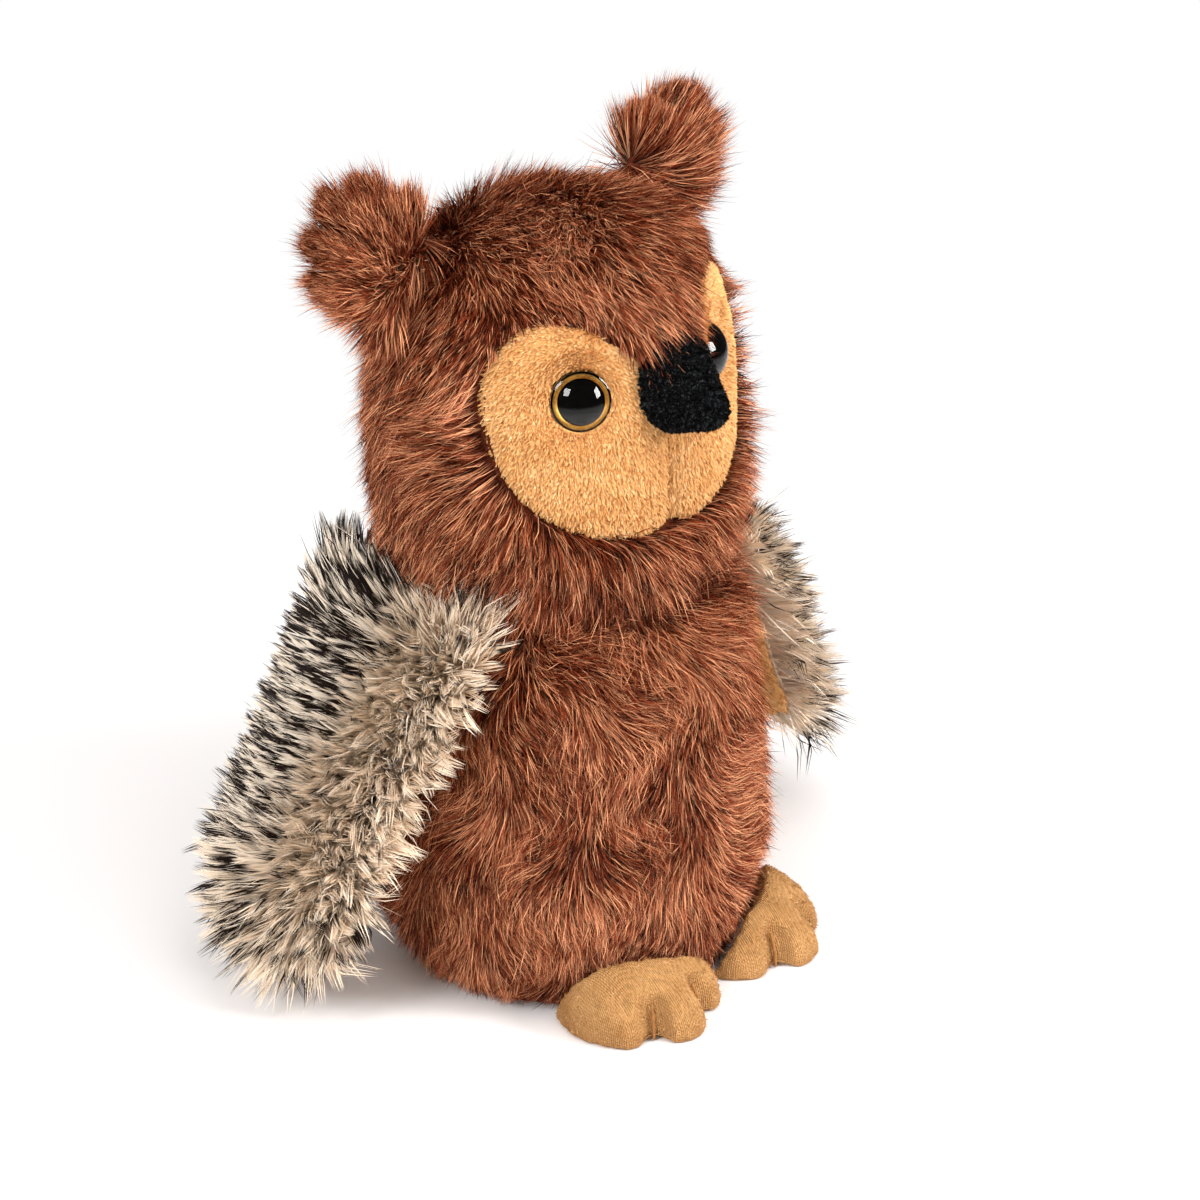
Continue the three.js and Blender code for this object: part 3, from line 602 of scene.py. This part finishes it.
def lobeOutline(look):
    side, peak = look["side"], look["peak"]
    chin, brow = (0, look["chin"]), (0, look["brow"])
    flank, summit = (side, look["sideHeight"]), (peak, look["top"])
    return np.concatenate([
        bezier(chin, (side * 0.62, look["chin"] - 1), (side, look["sideHeight"] - 26), flank),
        bezier(flank, (side, look["sideHeight"] + 13), (peak + 8, look["top"]), summit),
        bezier(summit, (peak * 0.62, look["top"]), (peak * 0.4, look["brow"] + 3), brow),
        np.array([brow], float)])


lobe = lobeOutline(face)


# how far a point lies outside the face, in mm, and less than zero on it
def beyondFace(place):
    at = np.stack([np.abs(place[:, 0]), place[:, 2] - head["neck"]], 1)
    inside = np.zeros(len(at), bool)
    nearest = np.full(len(at), 1e9)
    closed = np.concatenate([lobe, lobe[:1]])
    for (x0, y0), (x1, y1) in zip(closed[:-1], closed[1:]):
        crosses = (y0 > at[:, 1]) != (y1 > at[:, 1])
        inside ^= crosses & (at[:, 0] < (x1 - x0) * (at[:, 1] - y0) / ((y1 - y0) or 1e-9) + x0)
        if x0 or x1:
            edge = np.array([x1 - x0, y1 - y0])
            share = np.clip(((at - [x0, y0]) @ edge) / max(edge @ edge, 1e-9), 0, 1)
            nearest = np.minimum(nearest, np.linalg.norm(at - [x0, y0] - share[:, None] * edge, axis=1))
    away = np.where(inside, -nearest, nearest)
    return np.where(place[:, 1] < 0, away, 50.0)


headHair = dict(bodyHair, count=52000, turn=10, curl=0.28, swirl=20, swirlSize=40)


def combHead(look):
    def comb(roots, up):
        away = beyondFace(roots)
        count = len(roots)
        way = np.zeros((count, 3))
        way[:, 2] = -1
        crown = smoothStep(0.3, 0.9, up[:, 2])
        way[:, :2] += 1.2 * crown[:, None] * unit(roots[:, :2] - np.array(head["whorl"]))
        way[:, 2] += 0.8 * crown
        height = roots[:, 2] - head["neck"]
        fromFace = unit(roots - np.array([0, -30, head["neck"] + 50]))
        beside = smoothStep(26, 6, away) * smoothStep(72, 52, height)
        way = way * (1 - 0.75 * beside)[:, None] + fromFace * (1.1 * beside)[:, None]
        turn = np.radians(look["swirl"]) * drift(roots, look["swirlSize"], 9)
        flat = unit(way - up * (way * up).sum(1, keepdims=True))
        way = flat * np.cos(turn)[:, None] + np.cross(up, flat) * np.sin(turn)[:, None]
        edge = smoothStep(18, 0, away)
        over = smoothStep(62, 74, height)
        notch = smoothStep(15, 6, np.abs(roots[:, 0])) * over
        trim = smoothStep(11, 1, away) * over * (1 - notch)
        chin = smoothStep(16, 2, height)
        lifted = edge * (1 - over)
        lean = np.stack([42 - 22 * lifted + 12 * crown, 76 - 30 * lifted - 8 * chin + 4 * crown], 1)
        reach = look["length"] * (1 - 0.6 * trim + 0.15 * notch + 0.35 * chin)
        return way, lean, reach, 1 + chin
    return comb


for index, (side, sign) in enumerate(sides):
    look = dict(headHair, seed=31 + index)

    def onHalf(place, facing):
        outside = (facing * unit(place - np.array(head["middle"]))).sum(1) > 0.15
        return (outside & (place[:, 0] * sign >= 0) & (beyondFace(place) > 0.3)
                & (place[:, 2] > head["neck"] + 1)).astype(float)

    fur = growHair(side + "HeadFur", headCover, look, onHalf, combHead(look), evenTone(look))
    dress(fur, "head", brownFur, "brown_fur")
print("head furred")

# face: two velour lobes with a short pile that lies away from the eyes
pile = {"count": 32000, "steps": 2, "tuft": 4, "tuftTurn": 14, "turn": 9, "tuftLean": 6, "lean": 6, "curl": 0.1,
        "stray": 0.0, "sunk": 0.3, "pull": 0.6, "width": 0.27, "taper": (0.8, 1.0), "length": 1.9, "patch": 14,
        "patchTone": 0.06, "tuftTone": 0.16, "tone": 0.12, "leans": (50.0, 62.0)}
eyeOut = Vector((0.55801, -0.81624, 0.14957))
eyePlace = Vector((21.62951, -29.14604, 164.6923))
for index, (side, sign) in enumerate(sides):
    panel = copyNodes(side + "FacePanel", side + "_face_panel")
    soften(panel, face["voxel"], face["rounds"])
    # the lobes roll in to the seam between them
    place = points(panel)
    roll = face["roll"] * np.exp(-(place[:, 0] / face["rollWidth"]) ** 2)
    roll = roll * smoothStep(*face["rollHeight"], place[:, 2])
    setPoints(panel, place - unit(place - np.array(head["middle"])) * roll[:, None])
    dress(panel, "head", tanVelour, "tan_velour", side + "_face_panel")
    look = dict(pile, seed=51 + index)
    eyeAt = mirrored(sign, eyePlace)

    def onFace(place, facing):
        clear = np.linalg.norm(place - eyeAt, axis=1) > face["eyeRadius"] + 0.2
        return (clear & ((facing * unit(place - np.array(head["middle"]))).sum(1) > 0.3)).astype(float)

    def combFace(roots, up):
        way = unit(roots - eyeAt) * 0.8
        way[:, 2] -= 0.7
        way[:, 0] += sign * 0.25
        count = len(roots)
        return way, np.tile(look["leans"], (count, 1)), np.full(count, look["length"]), np.ones(count)

    fur = growHair(side + "FacePile", panel, look, onFace, combFace, evenTone(look))
    dress(fur, "head", tanPile, "tan_velour")
print("face laid")

# beak: black fleece over filling
beak = {"voxel": 1.3, "rounds": 2, "pressure": 2.0, "frames": 14, "cap": 0.5, "fill": 0.9, "length": 18.5,
        "slim": 0.28, "jaw": 0.4, "seam": -40.5,
        "root": (0.0, -39.19371, 167.0), "out": (0.0, -0.93969, -0.34202), "up": (0.0, -0.34202, 0.93969)}
beakCover = copyNodes("beakCover", "beak_cover", "beak_filling")
soften(beakCover, beak["voxel"], beak["rounds"])


# straighter sides towards the point, and a fuller lower side
def drawPoint(piece):
    place = points(piece) - beak["root"]
    out, rise = place @ np.array(beak["out"]), place @ np.array(beak["up"])
    share = np.clip(out / beak["length"], 0, 1)
    slim = 1 - beak["slim"] * smoothStep(0.05, 0.7, share) * (1 - 0.5 * smoothStep(0.75, 1, share))
    rise = np.where(rise < 0, rise * (1 + beak["jaw"]), rise) * slim
    ridge = 0.34 * smoothStep(-3, 11, rise) + 0.3 * smoothStep(-6, -14, rise)
    aside = place[:, 0] * slim * (1 - ridge * smoothStep(0, 0.3, share))
    moved = np.outer(out, beak["out"]) + np.outer(rise, beak["up"])
    moved[:, 0] = aside
    setPoints(piece, moved + beak["root"])


drawPoint(beakCover)
swell(beakCover, beak, lambda place: place[:, 1] > beak["seam"])
useModifier(beakCover, "SUBSURF", levels=1, render_levels=1)
dress(beakCover, "head", blackFleece, "black_fleece", "beak_cover", "beak_filling")
fleece = dict(pile, count=14000, tuft=4, tuftTurn=90, turn=60, tuftLean=14, lean=12, width=0.3, length=1.3,
              sunk=0.2, patch=8, patchTone=0.1, tuftTone=0.25, tone=0.25, seed=61,
              lie=(0.0, -0.3, -1.0), leans=(40.0, 50.0))


def onBeak(place, facing):
    return (((facing * unit(place - np.array([0, -40, 166]))).sum(1) > 0.1) & (place[:, 1] < -39)).astype(float)


fur = growHair("beakFleece", beakCover, fleece, onBeak, combFlat(fleece), evenTone(fleece))
dress(fur, "head", blackPile, "black_fleece")
print("beak stuffed")

# ear tufts: two panels sewn to a flat form, with long hair drawn to a few points
ear = {"voxel": 1.6, "fill": 0.5, "out": (0.72690, 0.15451, 0.66913), "root": (39.59088, 8.4153, 190.08418),
       "side": (-0.677, 0, 0.736), "sink": 3.2, "rounds": 3, "fan": 8, "reach": (4, 16), "fringe": 14,
       "rightTips": ((17, 20), (31, 13.5), (37, 5), (33, -6), (27, -15), (9, -22)),
       "leftTips": ((8, 25), (23, 14), (35, 4), (36, -11), (30, -23), (19, -30))}
earHair = dict(headHair, count=18000, steps=3, taper=(0.9, 1.0, 0.8), tuft=40, stray=0.24, pull=0.4)
for index, (side, sign) in enumerate(sides):
    cover = copyNodes(side + "Ear", side + "_ear_front_panel", side + "_ear_back_panel")
    soften(cover, ear["voxel"], ear["rounds"])
    sink(cover, ear["sink"])
    dress(cover, side + "_ear", brownBacking, "brown_fur", side + "_ear_front_panel", side + "_ear_back_panel")
    look = dict(earHair, seed=71 + index)
    earOut, earRoot = mirrored(sign, ear["out"]), mirrored(sign, ear["root"])
    earSide = mirrored(sign, ear["side"])
    earFront = np.cross(earOut, earSide)

    def onEar(place, facing):
        return ((facing @ earOut) > -0.6).astype(float)

    def combEar(roots, up):
        place = roots - earRoot
        along, across, depth = place @ earOut, place @ earSide, place @ earFront
        tips = np.array(ear[side + "Tips"])
        # each hair is drawn to the tip that lies most nearly along its own way from the root
        toward = unit(np.stack([along + ear["fan"], across], 1)) @ unit(tips - [-ear["fan"], 0]).T
        tip = tips[np.argmax(toward, axis=1)]
        aim = np.outer(tip[:, 0], earOut) + np.outer(tip[:, 1], earSide) + np.outer(0.3 * depth, earFront) - place
        low = smoothStep(9, 1, along)
        way = unit(unit(aim) + 0.15 * earOut) * (1 - low)[:, None]
        way[:, 2] -= low
        steep = np.degrees(np.arccos(np.clip((unit(way) * up).sum(1), -1, 1)))
        lean = np.stack([np.clip(steep - 12, 4, 62), np.clip(steep + 6, 8, 86)], 1)
        reach = np.clip(np.linalg.norm(aim, axis=1), *ear["reach"]) * (1 - low) + ear["fringe"] * low
        return way, lean, reach, 0.75 + 0.25 * low

    fur = growHair(side + "EarFur", cover, look, onEar, combEar, evenTone(look))
    dress(fur, side + "_ear", brownFur, "brown_fur")
print("ears furred")

# wings: barred fur outside, velour inside, each hanging its own way
wing = {"root": 43.99633, "height": 107.5, "length": 104.0, "cup": 300.0, "bar": 6.4, "press": 0.2, "inset": 7.0,
        "voxel": 1.4, "rounds": 3, "fill": 0.3, "liningVoxel": 1.1, "liningFill": 0.2, "halfWidth": 31, "fan": 76,
        "right": {"spread": 20.0, "setback": 11.0, "sweep": 20.0, "front": (6.0, 0.0), "dark": 0.0},
        "left": {"spread": 30.0, "setback": 14.0, "sweep": 10.0, "front": (0.0, 0.0), "dark": 0.2}}
wingHair = dict(bodyHair, count=30000, steps=3, taper=(0.9, 1.0, 0.8), tuftTurn=18, turn=8, tuftLean=9, lean=6,
                width=0.4, pull=0.78, length=16.5, stray=0.04, curl=0.15)
liningPile = dict(pile, count=8000, length=1.8, width=0.55, leans=(55.0, 65.0))
for index, (side, sign) in enumerate(sides):
    hang = wing[side]
    spread = math.radians(hang["spread"])
    root = np.array([sign * wing["root"], hang["setback"], wing["height"]])
    outward = np.array([sign * math.cos(spread), 0, math.sin(spread)])
    downward = np.array([sign * math.sin(spread), 0, -math.cos(spread)])
    backward = np.array([0, 1, 0])

    def wingPlace(place):
        return (place - root) @ downward, (place - root) @ backward

    # the cloth is drawn in from the solid's edge by the hair's reach and pressed to its own thickness
    def drawIn(piece, press):
        place = points(piece)
        down, back = wingPlace(place)
        raised = ((place - root) @ outward + back ** 2 / wing["cup"]) * press
        middle = hang["sweep"] * smoothStep(0, 85, down)
        front = hang["front"][0] + (hang["front"][1] - hang["front"][0]) * smoothStep(35, 80, down)
        back = middle + (back - middle) * (1 - np.where(back < middle, front, wing["inset"]) / wing["halfWidth"])
        down = down - wing["inset"] * smoothStep(20, wing["length"], down)
        raised -= back ** 2 / wing["cup"]
        setPoints(piece, root + np.outer(raised, outward) + np.outer(back, backward) + np.outer(down, downward))

    outer = copyNodes(side + "WingOuter", side + "_wing_outer")
    soften(outer, wing["voxel"], wing["rounds"])
    drawIn(outer, wing["press"])
    dress(outer, side + "_wing", creamBacking, "barred_fur", side + "_wing_outer")
    lining = copyNodes(side + "WingLining", side + "_wing_lining")
    soften(lining, wing["liningVoxel"], wing["rounds"])
    drawIn(lining, 1.0)
    dress(lining, side + "_wing", tanVelour, "tan_velour", side + "_wing_lining")

    def onWing(place, facing):
        return ((facing @ outward) > -0.3).astype(float)

    # how far a root lies behind the line where the hair stands and parts
    def behindParting(down, back):
        return back - hang["sweep"] * (1.15 * smoothStep(0, 80, down) - 0.4)

    def combWing(roots, up):
        down, back = wingPlace(roots)
        aside = behindParting(down, back)
        rear = smoothStep(-5, 7, aside)
        tip = smoothStep(52, 82, down)
        top = smoothStep(16, 3, down)
        far = smoothStep(3, 22, np.abs(aside))
        along = 0.05 + 0.2 * rear + 2.2 * top
        way = np.outer(1.85 * rear - 1.0, backward) - np.outer(along, downward)
        # at the tip the hair fans out from a point
        fan = np.stack([back - hang["sweep"] + 4, down - wing["fan"]], 1) / 24
        opened = np.minimum(np.linalg.norm(fan, axis=1), 1.2)
        around = np.outer(fan[:, 0], backward) + np.outer(fan[:, 1], downward)
        way = way * (1 - tip)[:, None] + around * tip[:, None]
        rise = (10 + 14 * far + 18 * rear * far + 24 * top) * (1 - tip) + (8 + 32 * opened) * tip
        fall = (28 + 30 * far + 14 * rear * far + 14 * top) * (1 - tip) + (22 + 44 * opened) * tip
        reach = 1 - 0.15 * rear * (1 - tip) * (1 - top) + 0.2 * top + 0.1 * tip + 0.5 * hang["dark"]
        return way, np.stack([rise, fall], 1), wingHair["length"] * reach, 1.1 - 0.65 * rear * (1 - tip)

    def tintWing(roots, up, tuft, rng):
        at = roots[tuft]
        down, back = wingPlace(at)
        count = len(roots)
        rear = smoothStep(-5, 9, behindParting(down, back)) * smoothStep(92, 66, down)
        row = np.sin(2 * math.pi * (down + 0.1 * back + 1.6 * drift(at, 24, 83)) / wing["bar"])
        deep = 0.32 * smoothStep(64, 8, down)
        tip = smoothStep(60, 84, down)
        barred, plain = 0.74 + deep + 0.95 * row, 0.18 + 0.9 * deep + 0.1 * row + 0.3 * tip
        chance = np.where(rear > 0.4, barred, plain) + hang["dark"]
        dark = (rng.random(count)[tuft] < chance) & (rng.random(count) < 0.92)
        longEnd = rng.random(count)[tuft] < 0.08 + 0.85 * rear + 0.3 * tip + hang["dark"]
        short = np.where(rng.random(count)[tuft] < 0.4, 3, 2)
        kind = np.where(dark, np.where(longEnd, 1, short), 0)
        shade = np.where(dark, rng.random(count), np.clip(0.2 + 0.25 * rear + 0.6 * rng.random(count), 0, 1))
        return (kind + 0.06 + 0.88 * shade) / 4

    look = dict(wingHair, seed=81 + index)
    fur = growHair(side + "WingFur", outer, look, onWing, combWing, tintWing)
    dress(fur, side + "_wing", barredFur, "barred_fur")

    def onLining(place, facing):
        return ((facing @ outward) < 0.2).astype(float)

    look = dict(liningPile, lie=downward, seed=91 + index)
    fur = growHair(side + "LiningPile", lining, look, onLining, combFlat(look), evenTone(look))
    dress(fur, side + "_wing", tanPile, "tan_velour")
print("wings furred")

# feet: knit covers with stitched toes, stuffed
foot = {"voxel": 1.4, "pressure": 6.0, "frames": 18, "cap": 1.8, "fill": 0.85, "crease": 2.2, "creaseWidth": 3.0,
        "rounds": 5, "seams": (1.0, -40), "stitchVoxel": 0.18, "stitchDepth": 0.8}
toeSeams = ("outer", "inner")
footFuzz = dict(pile, count=5000, tuft=3, tuftTurn=60, turn=40, tuftLean=14, lean=12, width=0.17, length=1.1,
                sunk=0.2, pull=0.4, patch=10, patchTone=0.12, tuftTone=0.2, tone=0.2,
                lie=(0.0, -1.0, -0.5), leans=(58.0, 66.0))


# the cover is pulled in along a stitch, and the stitch goes in with it
def drawToe(cover, stitch):
    place, facing = points(cover), facings(cover)
    thread = points(stitch)
    line = kdtree.KDTree(len(thread))
    for index, at in enumerate(thread):
        line.insert(at, index)
    line.balance()
    away = np.array([line.find(at)[2] for at in place])
    setPoints(cover, place - facing * (foot["crease"] * np.exp(-(away / foot["creaseWidth"]) ** 2))[:, None])
    inward = -unit(facing[away < 2].mean(0)[None, :])[0]
    setPoints(stitch, thread + inward * foot["crease"] * foot["stitchDepth"])


for index, (side, sign) in enumerate(sides):
    footNodes = [side + "_foot_" + part for part in ("upper", "filling", "sole")]
    cover = copyNodes(side + "Foot", *footNodes)
    soften(cover, foot["voxel"], foot["rounds"])
    swell(cover, foot, lambda place: (place[:, 2] < foot["seams"][0]) | (place[:, 1] > foot["seams"][1]))
    useModifier(cover, "SUBSURF", levels=1, render_levels=1)
    stitches = [copyNodes(side + part.capitalize() + "Stitch", side + "_foot_" + part + "_stitch")
                for part in toeSeams]
    for stitch in stitches:
        soften(stitch, foot["stitchVoxel"], 1)
        drawToe(cover, stitch)
    dress(cover, side + "_foot", tanKnit, "tan_knit", *footNodes)
    look = dict(footFuzz, seed=101 + index)

    def onFoot(place, facing):
        return ((facing[:, 2] > -0.6) & (place[:, 2] > 1.0)).astype(float)

    fur = growHair(side + "FootFuzz", cover, look, onFoot, combFlat(look), evenTone(look))
    dress(fur, side + "_foot", knitFuzz, "tan_knit")
    for part, stitch in zip(toeSeams, stitches):
        dress(stitch, side + "_foot", threadTwist, "thread", side + "_foot_" + part + "_stitch")
print("feet stuffed")

# eyes: a clear dome over a gold ring and a black back
eye = {"radius": 7.5, "floor": 1.0, "lensFloor": 2.1, "dome": 4.2, "ringFloor": 1.35, "ringTop": 1.95,
       "ringInner": 5.2, "ringOuter": 6.5}


def makeClearLens():
    material, tree, shader = newMaterial("clearLens", {
        "Base Color": dye(255, 252, 246), "Roughness": 0.01, "IOR": 1.42, "Transmission Weight": 1.0})
    path = addNode(tree, "ShaderNodeLightPath").outputs["Is Shadow Ray"]
    clear = addNode(tree, "ShaderNodeBsdfTransparent").outputs[0]
    mixed = addNode(tree, "ShaderNodeMixShader", {0: path, 1: shader.outputs[0], 2: clear}).outputs[0]
    tree.links.new(mixed, tree.nodes["Material Output"].inputs["Surface"])
    return material


def makeGold():
    material, tree, shader = newMaterial("goldRing", {"Metallic": 0.85, "Coat Weight": 0.5})
    place = addNode(tree, "ShaderNodeTexCoord").outputs["Object"]
    grain = useGroup(tree, nap, {"Place": place, "Fibres": 2600.0, "Patches": 400.0})
    colour = blend(tree, grain["Mask"], dye(140, 98, 34), dye(206, 160, 78))
    rough = span(tree, grain["Mask"], 0.0, 1.0, 0.28, 0.42)
    tree.links.new(colour, shader.inputs["Base Color"])
    tree.links.new(rough, shader.inputs["Roughness"])
    return material


def plastic(name, low, high, roughness, gloss):
    material, tree, shader = newMaterial(name, {"Specular IOR Level": gloss})
    place = addNode(tree, "ShaderNodeTexCoord").outputs["Object"]
    grain = useGroup(tree, nap, {"Place": place, "Fibres": 1500.0, "Patches": 200.0})
    colour = blend(tree, grain["Mask"], low, high)
    rough = span(tree, grain["Mask"], 0.0, 1.0, roughness, roughness * 1.5)
    tree.links.new(colour, shader.inputs["Base Color"])
    tree.links.new(rough, shader.inputs["Roughness"])
    return material


clearLens = makeClearLens()
goldRing = makeGold()
# the black back lies inside the clear dome, so it has no gloss of its own
blackPlastic = plastic("blackPlastic", dye(2, 2, 2), dye(6, 5, 4), 0.5, 0.0)
whitePlastic = plastic("whitePlastic", dye(214, 214, 210), dye(236, 236, 232), 0.4, 0.3)


# a profile of radius and height, spun about z and set in place
def spinPiece(name, profile, place, closed):
    mesh = bpy.data.meshes.new(name)
    edges = [(k, k + 1) for k in range(len(profile) - 1)]
    if closed:
        edges.append((len(profile) - 1, 0))
    mesh.from_pydata([(r * mm, 0, h * mm) for r, h in profile], edges, [])
    piece = bpy.data.objects.new(name, mesh)
    scene.collection.objects.link(piece)
    pickOnly(piece)
    bpy.ops.object.mode_set(mode="EDIT")
    bpy.ops.mesh.select_all(action="SELECT")
    bpy.ops.mesh.spin(steps=64, angle=2 * math.pi, center=(0, 0, 0), axis=(0, 0, 1))
    bpy.ops.mesh.select_all(action="SELECT")
    bpy.ops.mesh.remove_doubles(threshold=1e-6)
    bpy.ops.mesh.normals_make_consistent(inside=False)
    bpy.ops.object.mode_set(mode="OBJECT")
    bpy.ops.object.shade_smooth_by_angle(angle=math.radians(40))
    mesh.transform(place)
    return piece


for side, sign in sides:
    out, at = Vector(mirrored(sign, eyeOut)), Vector(mirrored(sign, eyePlace)) * mm
    place = Matrix.Translation(at) @ out.to_track_quat("Z", "Y").to_matrix().to_4x4()
    curve = (eye["radius"] ** 2 + eye["dome"] ** 2) / (2 * eye["dome"])
    dome = [(0, eye["floor"]), (eye["radius"], eye["floor"]), (eye["radius"], eye["lensFloor"] + 0.25)]
    widest = math.asin((eye["radius"] - 0.05) / curve)
    for step in range(13):
        angle = widest * (1 - step / 12)
        height = eye["lensFloor"] + eye["dome"] - curve * (1 - math.cos(angle))
        dome.append((curve * math.sin(angle), max(height, eye["lensFloor"] + 0.5 * (step == 0))))
    lens = spinPiece(side + "EyeLens", dome, place, False)
    dress(lens, "head", clearLens, "clear_lens", side + "_eye_lens")
    middle = (eye["ringInner"] + eye["ringOuter"]) / 2
    ring = [(eye["ringInner"], eye["ringFloor"]), (eye["ringOuter"], eye["ringFloor"]),
            (eye["ringOuter"], eye["ringTop"] - 0.15), (middle + 0.3, eye["ringTop"]),
            (middle - 0.3, eye["ringTop"]), (eye["ringInner"], eye["ringTop"] - 0.25)]
    iris = spinPiece(side + "EyeIris", ring, place, True)
    dress(iris, "head", goldRing, "gold_iris", side + "_eye_iris")
    recolour(nodes[side + "_eye_stem"], blackPlastic)
    recolour(nodes[side + "_eye_washer"], whitePlastic)
print("eyes set")

# studio: pale floor, two softboxes, a wide lamp above that leaves no glint, and an even sky
studio = {"target": (0, 0, 110), "azimuth": -44.5, "elevation": 24.0, "distance": 1000.0, "lens": 118.5,
          "roll": 1.5, "shift": (38 / 1200, -52 / 1200), "sky": 0.6, "floorRadius": 0.45,
          "floorColour": (0.88, 0.85, 0.84, 1), "floorFade": (0.2, 0.36)}
softboxes = (
    {"name": "leftBox", "way": (-0.81, -0.1, 0.58), "distance": 1.1, "size": (0.34, 0.44), "power": 8.2},
    {"name": "rightBox", "way": (0.43, -0.83, 0.36), "distance": 1.1, "size": (0.34, 0.44), "power": 12.4},
    {"name": "topBox", "way": (0.0, -0.4, 0.87), "distance": 1.2, "size": (0.8, 0.8), "power": 7.5},
)


def makeFloor():
    deselectAll()
    bpy.ops.mesh.primitive_circle_add(vertices=96, radius=studio["floorRadius"], fill_type="NGON")
    floor = bpy.context.object
    floor.name = "studioFloor"
    material, tree, shader = newMaterial("paleFloor", {"Base Color": studio["floorColour"], "Roughness": 0.9})
    place = addNode(tree, "ShaderNodeTexCoord").outputs["Object"]
    reach = addNode(tree, "ShaderNodeVectorMath", {0: place}, operation="LENGTH").outputs["Value"]
    near, white = studio["floorFade"]
    far = addNode(tree, "ShaderNodeMapRange", {0: reach, 1: near, 2: white, 3: 0.0, 4: 1.0},
                  interpolation_type="SMOOTHSTEP").outputs[0]
    path = addNode(tree, "ShaderNodeLightPath").outputs
    seen = reckon(tree, "ADD", path["Is Camera Ray"], path["Is Glossy Ray"])
    seen = reckon(tree, "MAXIMUM", seen, path["Is Transmission Ray"])
    pale = reckon(tree, "MULTIPLY", seen, far)
    white = addNode(tree, "ShaderNodeEmission", {"Color": (1, 1, 1, 1), "Strength": 1.0}).outputs[0]
    mixed = addNode(tree, "ShaderNodeMixShader", {0: pale, 1: shader.outputs[0], 2: white}).outputs[0]
    tree.links.new(mixed, tree.nodes["Material Output"].inputs["Surface"])
    floor.data.materials.append(material)
    floor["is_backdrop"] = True


def makeSky():
    world = bpy.data.worlds.new("studioSky")
    scene.world = world
    world.use_nodes = True
    tree = world.node_tree
    background = tree.nodes["Background"]
    path = addNode(tree, "ShaderNodeLightPath").outputs
    up = addNode(tree, "ShaderNodeTexCoord").outputs["Generated"]
    height = addNode(tree, "ShaderNodeSeparateXYZ", {0: up}).outputs[2]
    # reflections see a room that is dark above the horizon
    horizon = span(tree, height, -0.36, -0.2, 1.0, 0.05)
    seen = reckon(tree, "MAXIMUM", path["Is Camera Ray"], path["Is Transmission Ray"])
    plain = span(tree, seen, 0.0, 1.0, studio["sky"])
    strength = addNode(tree, "ShaderNodeMix", {0: path["Is Glossy Ray"], 2: plain, 3: horizon}).outputs[0]
    tree.links.new(strength, background.inputs["Strength"])
    background.inputs["Color"].default_value = (1, 1, 1, 1)


def makeLamps():
    target = Vector(studio["target"]) * mm
    for box in softboxes:
        lamp = bpy.data.lights.new(box["name"], "AREA")
        lamp.shape = "RECTANGLE"
        lamp.size, lamp.size_y = box["size"]
        lamp.energy = box["power"]
        way = Vector(box["way"]).normalized()
        holder = bpy.data.objects.new(box["name"], lamp)
        holder.visible_glossy = box["name"] != "topBox"
        scene.collection.objects.link(holder)
        holder.location = target + way * box["distance"]
        holder.rotation_euler = way.to_track_quat("Z", "Y").to_euler()


def makeCamera():
    lens = bpy.data.cameras.new("photoCamera")
    lens.lens = studio["lens"]
    lens.sensor_width = 36
    lens.shift_x, lens.shift_y = studio["shift"]
    camera = bpy.data.objects.new("photoCamera", lens)
    scene.collection.objects.link(camera)
    around, above = math.radians(studio["azimuth"]), math.radians(studio["elevation"])
    back = Vector((math.sin(around) * math.cos(above), -math.cos(around) * math.cos(above), math.sin(above)))
    camera.location = Vector(studio["target"]) * mm + back * studio["distance"] * mm
    turn = (-back).to_track_quat("-Z", "Y").to_matrix() @ Matrix.Rotation(math.radians(-studio["roll"]), 3, "Z")
    camera.rotation_euler = turn.to_euler()
    lens.clip_start, lens.clip_end = 0.01, 20
    scene.camera = camera


makeFloor()
makeSky()
makeLamps()
makeCamera()
scene.view_settings.view_transform = "Standard"
triangleCount = sum(len(p.vertices) - 2 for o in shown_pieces() for p in o.data.polygons)
print("studio lit", triangleCount, "triangles")
